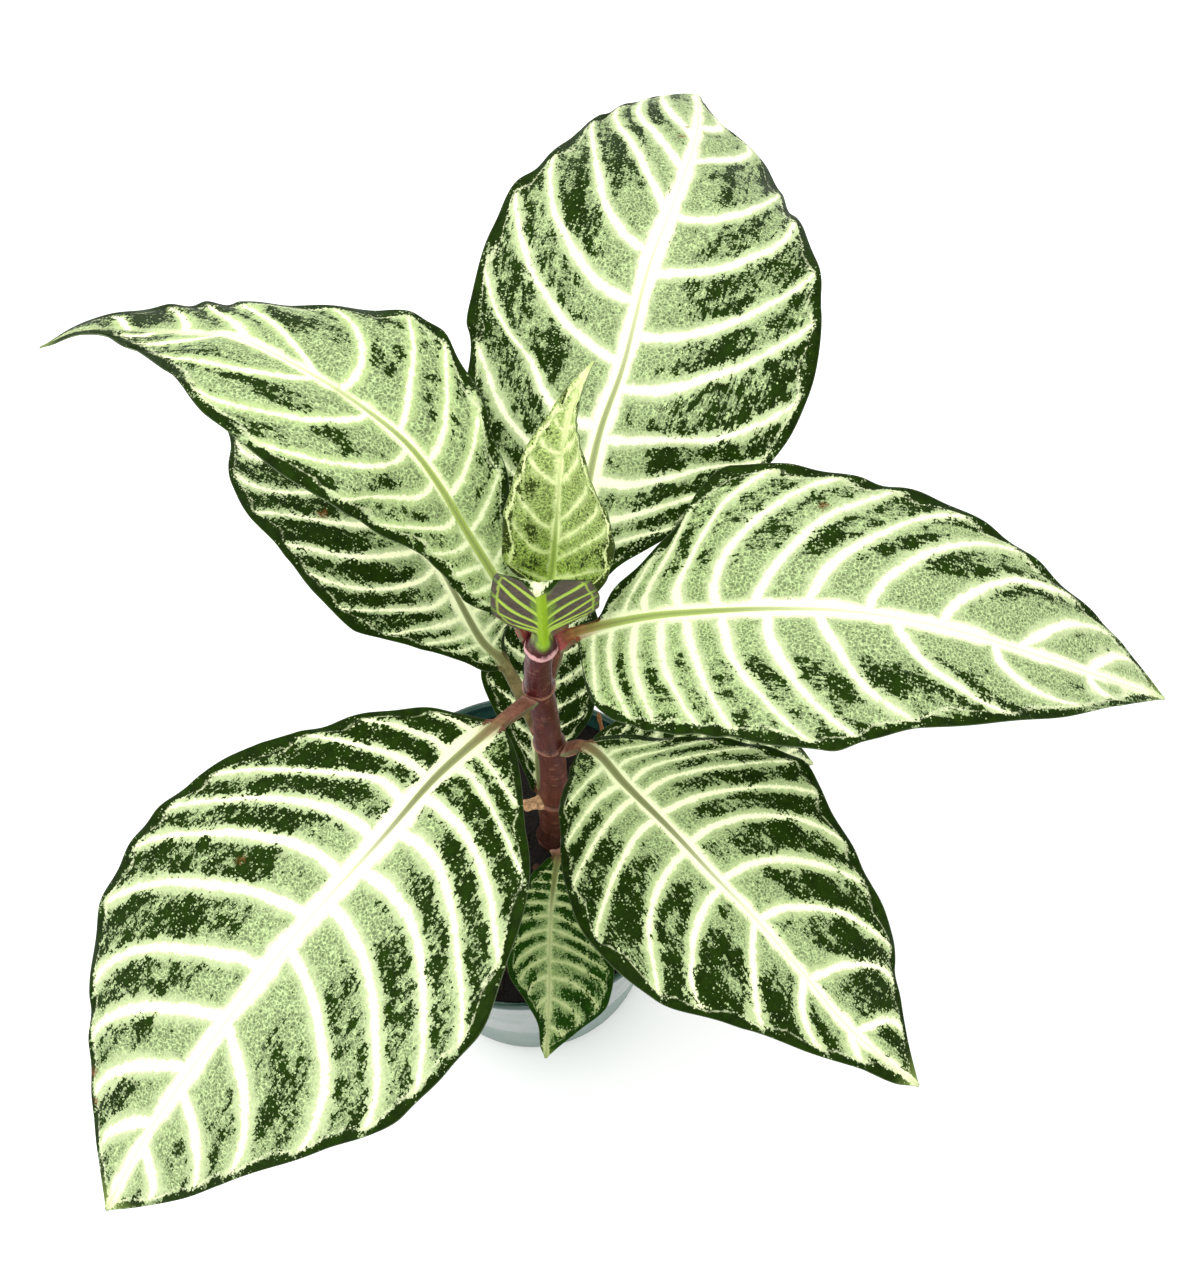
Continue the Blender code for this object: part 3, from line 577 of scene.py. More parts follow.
def ring_faces(rows, columns):
    """Quads of a skin whose points are a top grid and then a bottom grid, each of rows by columns."""
    index = np.arange(rows * columns).reshape(rows, columns)
    under = index + rows * columns

    def strip(a, b, c, d):
        return np.stack([a, b, c, d], -1).reshape(-1, 4)

    top = strip(index[:-1, :-1], index[:-1, 1:], index[1:, 1:], index[1:, :-1])
    rest = [
        strip(under[:-1, 1:], under[:-1, :-1], under[1:, :-1], under[1:, 1:]),
        strip(under[:-1, 0], index[:-1, 0], index[1:, 0], under[1:, 0]),
        strip(index[:-1, -1], under[:-1, -1], under[1:, -1], index[1:, -1]),
        strip(index[0, 1:], index[0, :-1], under[0, :-1], under[0, 1:]),
        strip(index[-1, :-1], index[-1, 1:], under[-1, 1:], under[-1, :-1]),
    ]
    return top, np.concatenate(rest)


def new_mesh(name, points, faces):
    """A smooth mesh from points in mm and lists of its faces' corners."""
    mesh = bpy.data.meshes.new(name)
    mesh.from_pydata((points * MM).tolist(), [], faces)
    mesh.shade_smooth()
    return mesh


def linked(name, data):
    made = bpy.data.objects.new(name, data)
    bpy.context.scene.collection.objects.link(made)
    return made


def store(mesh, name, values):
    attribute = mesh.attributes.new(name, "FLOAT_VECTOR", "POINT")
    attribute.data.foreach_set("vector", values.astype(np.float32).ravel())


def new_piece(name, mesh, materials, record_slot, *nodes):
    """A visible piece, which stands for the CAD nodes that are named."""
    piece = linked(name, mesh)
    for material in materials:
        mesh.materials.append(material)
    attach(piece, "root")
    if nodes:
        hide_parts(*nodes)


class Value:
    """A number or colour that comes out of a node. Sums and products of these are nodes too."""

    def __init__(self, paint, socket):
        self.paint = paint
        self.socket = socket

    def __add__(self, other):
        return self.paint.math("ADD", self, other)

    def __sub__(self, other):
        return self.paint.math("SUBTRACT", self, other)

    def __rsub__(self, other):
        return self.paint.math("SUBTRACT", other, self)

    def __mul__(self, other):
        return self.paint.math("MULTIPLY", self, other)

    def __abs__(self):
        return self.paint.math("ABSOLUTE", self)

    __radd__ = __add__
    __rmul__ = __mul__


class Paint:
    """A material, and short names for the nodes that it is built from. Numbers and values mix freely."""

    def __init__(self, name):
        self.material = bpy.data.materials.new(name)
        self.material.use_nodes = True
        self.tree = self.material.node_tree
        self.shader = self.tree.nodes["Principled BSDF"]

    def wire(self, socket, value):
        if isinstance(value, Value):
            self.tree.links.new(value.socket, socket)
        elif socket.type == "RGBA":
            socket.default_value = (*value, 1)
        else:
            socket.default_value = value

    def make(self, kind, inputs, output=0, **settings):
        """A new node's output. inputs has a value for each input's name or number."""
        node = self.tree.nodes.new("ShaderNode" + kind)
        for key, value in settings.items():
            setattr(node, key, value)
        for key, value in inputs.items():
            self.wire(node.inputs[key], value)
        return Value(self, node.outputs[output])

    def math(self, operation, *values):
        return self.make("Math", dict(enumerate(values)), operation=operation)

    def least(self, a, b):
        return self.math("MINIMUM", a, b)

    def most(self, a, b):
        return self.math("MAXIMUM", a, b)

    def span(self, value, low, high, start=0.0, end=1.0):
        """start where value is low, end where it is high, smooth between."""
        inputs = dict(enumerate((value, low, high, start, end)))
        return self.make("MapRange", inputs, interpolation_type="SMOOTHSTEP")

    def fade(self, value, low, high, start=1.0):
        return self.span(value, low, high, start, 0.0)

    def mix(self, factor, a, b):
        """Colour a where factor is 0 and b where it is 1. The node's other inputs aren't for colours."""
        return self.make("Mix", {0: factor, 6: a, 7: b}, output=2, data_type="RGBA")

    def shade(self, colour, amount):
        """The colour made darker or lighter by a number."""
        return self.make("VectorMath", {0: colour, "Scale": amount}, operation="SCALE")

    def vector(self, x, y, z):
        return self.make("CombineXYZ", {0: x, 1: y, 2: z})

    def split(self, vector):
        return [Value(self, part) for part in self.make("SeparateXYZ", {0: vector}).socket.node.outputs]

    def stored(self, name):
        """Three numbers stored on the mesh's points, and then the same three as one vector."""
        vector = self.make("Attribute", {}, output="Vector", attribute_name=name)
        return (*self.split(vector), vector)

    def position_mm(self):
        """Place in the object's own space, in millimetres. Every piece's own space is the plant's."""
        return self.shade(self.make("TexCoord", {}, output="Object"), 1 / MM)

    def stretched(self, vector, factors):
        return self.make("VectorMath", {0: vector, 1: factors}, operation="MULTIPLY")

    def pushed(self, vector, push, reach):
        """The place pushed about a little, so that shapes drawn there have uneven sides."""
        offset = self.vector(push * reach, push * -reach, 0.0)
        return self.make("VectorMath", {0: vector, 1: offset}, operation="ADD")

    def noise(self, vector, size, detail=3.0, roughness=0.5):
        """Soft noise from 0 to 1 whose features are about this size, in the vector's unit."""
        inputs = {"Vector": vector, "Scale": 1 / size, "Detail": detail, "Roughness": roughness}
        return self.make("TexNoise", inputs)

    def grain(self, *noise):
        """The same noise from -0.5 to 0.5."""
        return self.noise(*noise) - 0.5

    def cells(self, vector, size, output, feature="F1"):
        return self.make("TexVoronoi", {"Vector": vector, "Scale": 1 / size}, output, feature=feature)

    def cell_edges(self, vector, size):
        return self.cells(vector, size, "Distance", "DISTANCE_TO_EDGE")

    def cell_tones(self, vector, size):
        """Small cells, each with its own random number from 0 to 1."""
        return self.make("SeparateColor", {0: self.cells(vector, size, "Color")})

    def dots(self, vector, size):
        """One round dot in each cell, 1 in its middle, fading out, and as strong as its own random number."""
        distance = self.cells(vector, size, "Distance")
        tone = self.make("SeparateColor", {0: Value(self, distance.socket.node.outputs["Color"])})
        return self.fade(distance, 0.1, 0.5) * tone

    def bump(self, height, depth_mm, strength):
        inputs = {"Strength": strength, "Distance": depth_mm * MM, "Height": height}
        self.wire(self.shader.inputs["Normal"], self.make("Bump", inputs))

    def finish(self, colour, roughness, specular=0.5):
        values = {"Base Color": colour, "Roughness": roughness, "Specular IOR Level": specular}
        for name, value in values.items():
            self.wire(self.shader.inputs[name], value)
        return self.material


class LeafPaint(Paint):
    """A paint that knows where it is on its leaf. Places are in mm, or fractions of the blade from 0 to 1."""

    def __init__(self, name, look, seed):
        super().__init__(name)
        self.look = look
        self.along, self.across, self.from_rib, _ = self.stored("place")
        self.number, self.spacing, self.to_edge, _ = self.stored("vein")
        self.flat_x, self.flat_y, self.from_foot, _ = self.stored("flat")
        self.flat = self.vector(self.flat_x, self.flat_y, seed)

    def stalk_colour(self):
        mottle = self.span(self.noise(self.flat, 2.5, 4, 0.6), 0.3, 0.7, 0.7, 1.3)
        near_foot = self.fade(self.from_foot, 0.5, 5.0)
        return self.shade(self.mix(near_foot, self.look["stalk"], self.look["foot"]), mottle)


class LeafFace(LeafPaint):
    """The face: pale veins and midrib that fade into sage green, and speckled dark green between them."""

    def __init__(self, name, look, seed):
        super().__init__(name + "_face", look, seed * 41.0)
        self.fraction = self.most(self.along, 0.0)
        self.drift = self.grain(self.flat, 14, 2)
        self.rough = self.grain(self.flat, 3.4, 5, 0.7)
        self.fine = self.grain(self.flat, 0.8, 3, 0.65)
        self.specks = self.dots(self.pushed(self.flat, self.fine, 0.9), 0.85)
        self.net = self.cell_edges(self.flat, 1.0)
        # Combed noise leans away from the veins, and patches lie along the space between two of them
        wobbly = self.number + self.drift * 0.16
        slanted = self.from_rib * 1.1 - wobbly * 2.0 + self.drift * 5.0
        self.comb = self.grain(self.vector(wobbly * 1.8, slanted, seed * 3.0), 1.0, 4, 0.65)
        self.patches = self.grain(self.vector(wobbly * 1.5, self.from_rib * 0.13, seed * 5.0), 1.0, 3, 0.6)
        self.jagged = self.fine * 1.8 + self.rough * 1.5 + self.comb - self.specks * 0.5
        # Distance to the nearest vein's middle and past its pale band, in millimetres
        self.near = self.math("PINGPONG", wobbly, 0.5) * self.spacing
        taper = self.span(self.across, 0.05, 0.95, 1.2, 0.4)
        half_vein = self.least(self.spacing * 0.11, look["vein"] * 0.65) * taper
        self.past_vein = self.near + self.jagged - half_vein

    def pale_bands(self):
        """How white each point is for its veins and midrib, and how strong the pale green round them is."""
        look = self.look
        widest = self.span(self.fraction, 0.3, 1.0, look["rib"], look["rib"] * 0.4)
        half_rib = self.least(widest, (self.from_rib + self.to_edge) * 0.2)
        past_rib = self.from_rib + self.jagged + self.drift * 4.0 - half_rib
        inside = self.span(self.to_edge, 0.8, 3.6)
        rib_light = self.span(self.fraction, look["rib_end"] - 0.2, look["rib_end"], 1.0, 0.1)
        bright = self.most(
            self.fade(self.past_vein, -0.5, 0.55) * inside, self.fade(past_rib, -0.6, 1.2) * rib_light
        )
        grain = self.rough * 3.0 + self.fine * 2.0
        halo = self.least(self.spacing * 0.34, look["halo"])
        soft = self.most(
            self.fade(self.past_vein + grain, 0.0, halo) * inside,
            self.fade(past_rib + grain, 0.0, look["halo"]) * rib_light,
        )
        return self.most(bright, self.arches()), soft

    def arches(self):
        """The thin light line where one vein arches along the edge into the next."""
        arch = self.to_edge - (self.look["arch"] + self.near * 0.4)
        line = self.fade(abs(arch) + self.jagged * 0.8, 0.15, 0.7, self.look["arch_light"])
        return line * self.span(self.rough, -0.2, 0.1)

    def dark_share(self, at_base, in_middle, at_tip):
        change = self.span(self.fraction, 0.45, 0.9, 0.0, at_tip - in_middle)
        return self.span(self.fraction, 0.05, 0.45, at_base, in_middle) + change

    def dark_patches(self, bright):
        """1 in the dark green patches and 0 outside them."""
        look = self.look
        left_half = self.math("GREATER_THAN", self.flat_y, 0.0)
        right, left = self.dark_share(*look["dark_right"]), self.dark_share(*look["dark_left"])
        reach = self.across + self.fade(self.fraction, 0.0, 0.35, look["base_reach"])
        level = (
            (1.0 - left_half) * right + left_half * left
            + self.fade(self.past_vein, 0.2, 2.6, -0.5)
            + self.span(reach, look["dark_start"], look["dark_full"], -0.45, 0.06)
            + self.fade(self.to_edge, 0.8, 3.6, look["margin"])
            + self.patches * 1.9 + self.comb * 0.9 + self.rough * 1.5 + self.fine - self.specks * 0.75
        )
        return self.span(level, 0.45, 0.53) * self.fade(bright, 0.2, 0.6)

    def blade_colour(self, bright, soft, is_dark):
        look = self.look
        based = self.fade(self.fraction, 0.0, look["base_end"], 0.9)
        white = self.mix(based, look["white"], look["base_white"])
        sage = self.mix(based, look["sage"], look["base_sage"])
        netted = self.span(self.net, 0.0, 0.22, 1.8, 0.85) * self.span(self.fine, -0.22, 0.22, 0.5, 1.5)
        colour = self.mix(soft, self.shade(sage, netted), look["pale"])
        colour = self.mix(bright, colour, white)
        dark = self.shade(look["dark"], self.span(self.rough, -0.25, 0.3, 0.6, 1.8))
        colour = self.mix(is_dark, colour, dark)
        return self.mix(self.span(self.fraction, 0.94, 1.0, 0.0, 0.5), colour, look["tip"])

    def add_ridge(self, colour):
        """The olive ridge on the midrib, which fades toward the tip."""
        end = self.look["ridge_end"]
        past_ridge = self.from_rib - self.span(self.fraction, 0.0, end, 1.35, 0.4)
        on_ridge = self.fade(past_ridge, -0.35, 0.25) * self.span(self.fraction, end * 0.4, end, 0.9, 0.3)
        ridge = self.shade(self.look["ridge"], self.span(self.from_rib, 0.0, 1.0, 0.75, 1.25))
        return self.mix(on_ridge, colour, ridge)

    def add_stalk(self, colour):
        past_stalk = self.from_rib - self.span(self.along, -0.01, 0.08, 3.2, 1.4)
        on_stalk = self.fade(self.along, -0.05, 0.1) * self.fade(past_stalk, -0.3, 0.4)
        return self.mix(on_stalk, colour, self.stalk_colour())

    def add_spots(self, colour):
        for spot_x, spot_y, radius in self.look["spots"]:
            x_squared = self.math("POWER", abs(self.flat_x - spot_x), 2.0)
            y_squared = self.math("POWER", abs(self.flat_y - spot_y), 2.0)
            mark = self.math("SQRT", x_squared + y_squared) + self.fine * 5.0 + self.rough * 5.0
            colour = self.mix(self.fade(mark, radius * 0.3, radius, 0.75), colour, SPOT_BROWN)
        return colour

    def finished(self):
        bright, soft = self.pale_bands()
        is_dark = self.dark_patches(bright)
        colour = self.add_ridge(self.blade_colour(bright, soft, is_dark))
        colour = self.add_spots(self.add_stalk(colour))
        colour = self.mix(self.fade(self.to_edge, 0.1, 0.35, 0.5), colour, FACE_EDGE)
        height = self.span(self.net, 0.0, 0.25) * 0.5 + self.fine - is_dark * 0.15 + soft * 0.6
        self.bump(height, 0.22, 0.6)
        return self.finish(colour, self.span(self.fine, -0.3, 0.3, 0.42, 0.58), 0.04)


class LeafUnderside(LeafPaint):
    """The underside: plain matt green with raised paler veins, and brown between them if it has a patch."""

    def __init__(self, name, look, seed):
        super().__init__(name + "_underside", look, seed * 17.0)
        self.fine = self.grain(self.flat, 1.2, 4, 0.65)
        self.drift = self.grain(self.flat, 12, 2)
        self.off_vein = self.math("PINGPONG", self.number, 0.5)

    def vein_mask(self):
        past_vein = self.off_vein * self.spacing + self.fine * 0.7 - self.span(self.across, 0, 1, 0.7, 0.4)
        veins = self.fade(past_vein, -0.25, 0.35) * self.span(self.to_edge, 1.0, 2.2)
        edge_vein = self.fade(abs(self.to_edge + self.fine - 1.7), 0.15, 0.5)
        return self.most(veins, edge_vein * 0.6)

    def green(self):
        net = self.cell_edges(self.flat, 1.3)
        mottle = self.span(self.drift, -0.2, 0.2, 0.8, 1.15) * self.span(net, 0.0, 0.2, 1.25, 0.95)
        green = self.shade(self.look["under"], mottle * self.span(self.fine, -0.25, 0.25, 0.8, 1.2))
        if not self.look["patch"]:
            return green
        off_rib = self.span(self.across, 0.1, 0.45, -0.3, 0.2)
        level = off_rib + self.span(self.off_vein, 0.08, 0.22, -0.3, 0.3) + self.drift
        brown = self.shade(self.look["patch"], self.span(self.fine, -0.25, 0.25, 0.6, 1.5))
        return self.mix(self.span(level, 0.05, 0.2), green, brown)

    def finished(self):
        veins = self.vein_mask()
        colour = self.mix(veins, self.green(), self.look["under_vein"])
        colour = self.mix(self.fade(self.from_rib, 1.1, 1.6), colour, self.look["under_rib"])
        on_stalk = self.fade(self.along, -0.04, 0.09) * self.fade(self.from_rib, 2.0, 2.8)
        colour = self.mix(on_stalk, colour, self.stalk_colour())
        colour = self.mix(self.fade(self.to_edge, 0.12, 0.5) * 0.6, colour, UNDERSIDE_EDGE)
        self.bump(veins + self.fine, 0.25, 0.6)
        return self.finish(colour, self.span(self.fine, -0.25, 0.25, 0.52, 0.68), 0.2)


def make_leaf(name, leaf, seed):
    look = {**PLAIN_LOOK, **LOOKS.get(name, {})}
    top, bottom, grids = leaf_grids(LeafShape(leaf))
    face, rest = ring_faces(*top.shape[:2])
    points = np.concatenate([top.reshape(-1, 3), bottom.reshape(-1, 3)])
    mesh = new_mesh(name + "_skin", points, np.concatenate([face, rest]).tolist())
    for key, grid in grids.items():
        store(mesh, key, np.concatenate([grid.reshape(-1, 3)] * 2))
    materials = [LeafFace(name, look, seed).finished(), LeafUnderside(name, look, seed).finished()]
    new_piece(name + "_detailed", mesh, materials, "leaf_young" if "young" in name else "leaf_striped", name)
    mesh.polygons.foreach_set("material_index", np.repeat([0, 1], [len(face), len(rest)]))


def grid_mesh(name, points):
    """A closed mesh through rings of points in mm, with its two ends capped."""
    rows, columns = points.shape[:2]
    index = np.arange(rows * columns).reshape(rows, columns)
    following = np.roll(index, -1, axis=1)
    sides = np.stack([index[:-1], following[:-1], following[1:], index[1:]], -1).reshape(-1, 4)
    caps = [index[0, ::-1].tolist(), index[-1].tolist()]
    return new_mesh(name, points.reshape(-1, 3), sides.tolist() + caps)


def turns(count):
    return 2 * math.pi * np.arange(count) / count


def rings_along(centres, radii, columns):
    """Level rings of points round the centres. radii may have one value for each ring or for each point."""
    radii = np.broadcast_to(np.asarray(radii).reshape(len(centres), -1), (len(centres), columns))
    points = np.repeat(np.asarray(centres, float)[:, None], columns, axis=1)
    points[..., 0] += radii * np.cos(turns(columns))
    points[..., 1] += radii * np.sin(turns(columns))
    return points


def stem_bark(paint, height, streak, fine, blotch):
    """Nearly black low down as painted shade under the leaves, red-brown in the middle and maroon at the top,
    with streaks and freckles.
    """
    # The nearly black colour low on the stem is painted shade under the leaves, near the soil
    low = paint.mix(paint.span(height, 95, 150), (0.035, 0.012, 0.008), (0.085, 0.022, 0.013))
    colour = paint.mix(paint.span(height, 150, 235), low, (0.070, 0.010, 0.009))
    colour = paint.mix(paint.span(height, 230, 250), colour, (0.062, 0.006, 0.008))
    return paint.shade(colour, 1.0 + streak * 1.6 + fine * 0.8 + blotch)


def stem_paint():
    """Bark with pale uneven collars and thin dark lines at the nodes, and lime green at the growing tip."""
    paint = Paint("stem_bark_fine")
    height, around, past_node, place = paint.stored("place")
    streak = paint.grain(paint.vector(around * 1.4, height * 0.12, 3.0), 1, 4)
    fine = paint.grain(place, 0.9, 4, 0.65)
    blotch = paint.grain(place, 6, 3)
    freckles = paint.span(paint.cell_tones(place, 1.6), 0.9, 0.95)
    colour = stem_bark(paint, height, streak, fine, blotch)
    colour = paint.mix(freckles * 0.25, colour, (0.4, 0.2, 0.12))
    wavy = past_node + blotch * 5.0 + fine
    collar = paint.span(wavy, -1.6, -0.4) * paint.fade(wavy, 0.4, 1.4)
    collar_colour = paint.mix(paint.span(height, 236, 260), (0.36, 0.17, 0.11), (0.75, 0.42, 0.42))
    colour = paint.mix(collar * paint.span(height, 100, 260, 0.3, 0.8), colour, collar_colour)
    colour = paint.mix(paint.fade(abs(wavy - 1.6), 0.1, 0.45, 0.5), colour, (0.03, 0.008, 0.008))
    shoot = paint.mix(paint.span(height, 265.5, 269.5), (0.05, 0.018, 0.012), (0.20, 0.26, 0.05))
    colour = paint.mix(paint.span(height, 264.2, 265.0), colour, shoot)
    paint.bump(streak * 1.5 + fine + collar * 0.4, 0.35, 0.7)
    return paint.finish(colour, paint.span(fine, -0.2, 0.2, 0.34, 0.5), 0.2)


def make_stem():
    heights = np.arange(STEM[0][0], STEM[-1][0] + 0.3, 0.6)
    shape = smooth_rows(STEM, heights)
    past = heights[:, None] - np.array(NODE_HEIGHTS)
    nearest = past[np.arange(len(heights)), np.abs(past).argmin(axis=1)]
    swelling = NODE_SWELLING * np.exp(-((past / NODE_LENGTH) ** 2)).sum(axis=1)
    scar = 0.22 * np.exp(-(((nearest - 0.2) / 0.9) ** 2)) - 0.22 * np.exp(-(((nearest - 2.0) / 0.6) ** 2))
    angles = turns(STEM_COLUMNS)
    ribs = 0.07 * np.cos(5 * angles + heights[:, None] * 0.03)
    ribs = ribs + 0.05 * np.sin(9 * angles - heights[:, None] * 0.11)
    fade = np.minimum(1, shape[:, 2] / 4)[:, None]
    radii = shape[:, 2:3] + swelling[:, None] + (scar[:, None] + ribs) * fade
    mesh = grid_mesh("stem_skin", rings_along(np.column_stack([shape[:, :2], heights]), radii, STEM_COLUMNS))
    around = angles * STEM_PAINT_RADIUS
    shown = [np.broadcast_to(values, radii.shape) for values in (heights[:, None], around, nearest[:, None])]
    store(mesh, "place", np.stack(shown, -1).reshape(-1, 3))
    new_piece("stem_detailed", mesh, [stem_paint()], "stem_bark", "stem")


def stub_paint():
    """Dry tan tissue with darker specks."""
    paint = Paint("dry_stub_fine")
    place = paint.position_mm()
    grain = paint.grain(place, 1.2, 5, 0.65)
    tan = paint.shade((0.60, 0.36, 0.20), paint.span(grain, -0.25, 0.25, 0.45, 1.35))
    speck = paint.span(paint.noise(place, 3.0, 3), 0.55, 0.65)
    paint.bump(grain, 0.4, 0.8)
    return paint.finish(paint.mix(speck * 0.6, tan, (0.16, 0.06, 0.03)), 0.8, 0.2)


def make_stub():
    """The dry base of a fallen leaf: a short flaring peg with a hollow, ragged end."""
    turn, tilt = math.radians(STUB_AZIMUTH), math.radians(STUB_RISE)
    flat = np.array([math.cos(turn), math.sin(turn), 0])
    side = np.array([-math.sin(turn), math.cos(turn), 0])
    way = flat * math.cos(tilt) + np.array([0, 0, math.sin(tilt)])
    up = np.cross(way, side) * -1
    foot = stem_surface(STUB_NODE, stem_at(STUB_NODE)[:2] + flat[:2]) - flat
    angles = turns(STUB_COLUMNS)
    ragged = 0.35 * np.cos(3 * angles + 0.7) + 0.2 * np.cos(7 * angles)
    rows = [
        foot + way * (out + rough * ragged)[:, None] + side * (radius * 1.05 * np.cos(angles))[:, None]
        + up * (radius * 0.85 * np.sin(angles))[:, None]
        for out, radius, rough in STUB_OUTLINE
    ]
    mesh = grid_mesh("stub_skin", np.array(rows))
    new_piece("stub_left_detailed", mesh, [stub_paint()], "dry_stub", "stub_left")


def arc(centre_x, centre_z, radius, start, end, count):
    angles = np.radians(np.linspace(start, end, count))
    return [(centre_x + radius * math.cos(a), centre_z + radius * math.sin(a)) for a in angles]


def outer_radius(height):
    """Radius of the outside of the pot's tapered wall."""
    return BASE_RADIUS + (SHOULDER_RADIUS - BASE_RADIUS) * height / (POT_HEIGHT - RIM_BAND)


def inner_radius(height):
    return outer_radius(height) - WALL


def pot_profile():
    """Half section, from the middle of the inner floor over the rim and down the outside to the underside."""
    lip = RIM_WALL / 2
    band_floor = POT_HEIGHT - RIM_BAND
    corner = FLOOR_THICKNESS + CORNER
    return [
        *[(r, FLOOR_THICKNESS) for r in np.linspace(0.01, inner_radius(corner) - CORNER, 16)],
        *arc(inner_radius(corner) - CORNER, corner, CORNER, -85, -10, 7),
        *[(inner_radius(h), h) for h in np.linspace(corner, band_floor - 2, 14)],
        (RIM_RADIUS - RIM_WALL - 0.4, band_floor - 0.5),
        (RIM_RADIUS - RIM_WALL, band_floor + 2),
        (RIM_RADIUS - RIM_WALL, POT_HEIGHT - lip - 1),
        *arc(RIM_RADIUS - lip, POT_HEIGHT - lip, lip, 180, 0, 19),
        (RIM_RADIUS - 0.1, POT_HEIGHT - lip - 1.5),
        (RIM_RADIUS - 0.35, band_floor + 1.2),
        *arc(RIM_RADIUS - 0.9, band_floor + 0.5, 0.5, 0, -90, 6),
        (SHOULDER_RADIUS + 0.3, band_floor - 0.2),
        (SHOULDER_RADIUS - 0.25, band_floor - 1),
        *[(outer_radius(h), h) for h in np.linspace(band_floor - 2, FOOT_ROUND + 2, 24)],
        *arc(BASE_RADIUS - FOOT_ROUND + 0.2, FOOT_ROUND, FOOT_ROUND, 0, -90, 9),
        (BASE_RADIUS - 5, 0.0),
        (BASE_RADIUS - 5.6, 0.5),
        *[(r, 0.5) for r in np.linspace(BASE_RADIUS - 6, 0.01, 12)],
    ]


def pot_paint():
    """Glossy dark teal plastic with turning marks, scuffs and dust, and a dull painted reflection of shaded
    floor low down.
    """
    paint = Paint("pot_plastic_fine")
    place = paint.position_mm()
    height = paint.split(place)[2]
    grain = paint.grain(place, 0.8, 3, 0.6)
    blotch = paint.grain(place, 18, 4, 0.6)
    rings = paint.grain(paint.vector(0.0, 0.0, height * 2.2), 1.0, 3)
    scuffs = paint.span(paint.noise(paint.stretched(place, (0.25, 0.25, 3.0)), 1.0, 5, 0.7), 0.6, 0.72)
    colour = paint.shade((0.012, 0.050, 0.042), 1.0 + blotch + grain * 0.3)
    dust = paint.span(paint.noise(place, 2.2, 5, 0.7), 0.56, 0.7) * 0.12
    colour = paint.mix(dust + scuffs * 0.08, colour, (0.22, 0.21, 0.18))
    paint.bump(rings + grain * 0.15, 0.12, 0.4)
    # A dull grey-green band low on the wall: a painted reflection of the shaded floor by the pot's foot
    reflection_edge = height + blotch * 9.0 + grain * 3.0
    painted_reflection = paint.fade(reflection_edge, SHADED_REFLECTION_TOP - 4.0, SHADED_REFLECTION_TOP + 2.0, 0.7)
    reflection_colour = paint.shade((0.13, 0.20, 0.175), 1.0 + blotch * 0.5 + grain * 0.4)
    roughness = paint.span(blotch, -0.2, 0.2, 0.10, 0.2) + scuffs * 0.15 + painted_reflection * 0.4
    return paint.finish(paint.mix(painted_reflection, colour, reflection_colour), roughness, 0.8)


def drain_cutter(number):
    turn = 2 * math.pi * (number + 0.5) / HOLE_COUNT
    x, y = HOLE_CIRCLE * math.cos(turn), HOLE_CIRCLE * math.sin(turn)
    rings = rings_along([(x, y, -3), (x, y, FLOOR_THICKNESS + 3)], [HOLE_RADIUS, HOLE_RADIUS], 32)
    return linked(f"drain_{number}", grid_mesh(f"drain_{number}", rings))


def make_pot():
    """The pot's skin, turned from its profile, with the drainage holes cut through its floor."""
    radii, heights = zip(*pot_profile())
    pot = linked("pot_whole", grid_mesh("pot_skin", rings_along([(0, 0, z) for z in heights], radii, 160)))
    cutters = [drain_cutter(number) for number in range(HOLE_COUNT)]
    for cutter in cutters:
        modifier = pot.modifiers.new("cut", "BOOLEAN")
        modifier.operation = "DIFFERENCE"
        modifier.solver = "EXACT"
        modifier.object = cutter
    graph = bpy.context.evaluated_depsgraph_get()
    cut_mesh = bpy.data.meshes.new_from_object(pot.evaluated_get(graph))
    for old in (pot, *cutters):
        bpy.data.objects.remove(old, do_unlink=True)
    cut_mesh.materials.clear()
    new_piece("pot_detailed", cut_mesh, [pot_paint()], "pot_plastic", "pot")


def soil_height(x, y):
    """Height of the soil's surface: a hollow that is lowest in the middle, rough at several sizes."""
    radius = np.hypot(x, y) / (inner_radius(SOIL_EDGE) - SOIL_GAP)
    hollow = SOIL_EDGE + (SOIL_MIDDLE - SOIL_EDGE) * np.cos(np.minimum(radius, 1) * math.pi / 2)
    rough = sum(depth * np.sin(x * fx + p) * np.cos(y * fy + p * 1.7) for depth, fx, fy, p in SOIL_WAVES)
    return hollow + rough - 0.4


def soil_paint(name):
    """Moist peat, near black with brown fibres, or pale perlite; its near black is partly the peat's own dark
    colour and partly painted shade under the leaves. Each crumb has its own tone.
    """
    paint = Paint(name)
    tone, kind, _, _ = paint.stored("tone")
    place = paint.position_mm()
    grain = paint.grain(place, 0.9, 5, 0.75)
    clods = paint.grain(place, 5, 4, 0.6)
    # The near-black end of the peat's colour is partly painted shade under the leaves
    brown = paint.mix(tone, (0.008, 0.005, 0.004), (0.075, 0.034, 0.016))
    colour = paint.mix(paint.span(kind, 0.5, 0.6), brown, (0.5, 0.47, 0.42))
    colour = paint.shade(colour, 1.0 + grain * 2.0 + clods)
    paint.bump(grain + clods * 1.5, 0.8, 0.9)
    return paint.finish(colour, paint.span(grain, -0.2, 0.2, 0.95, 0.7), 0.25)


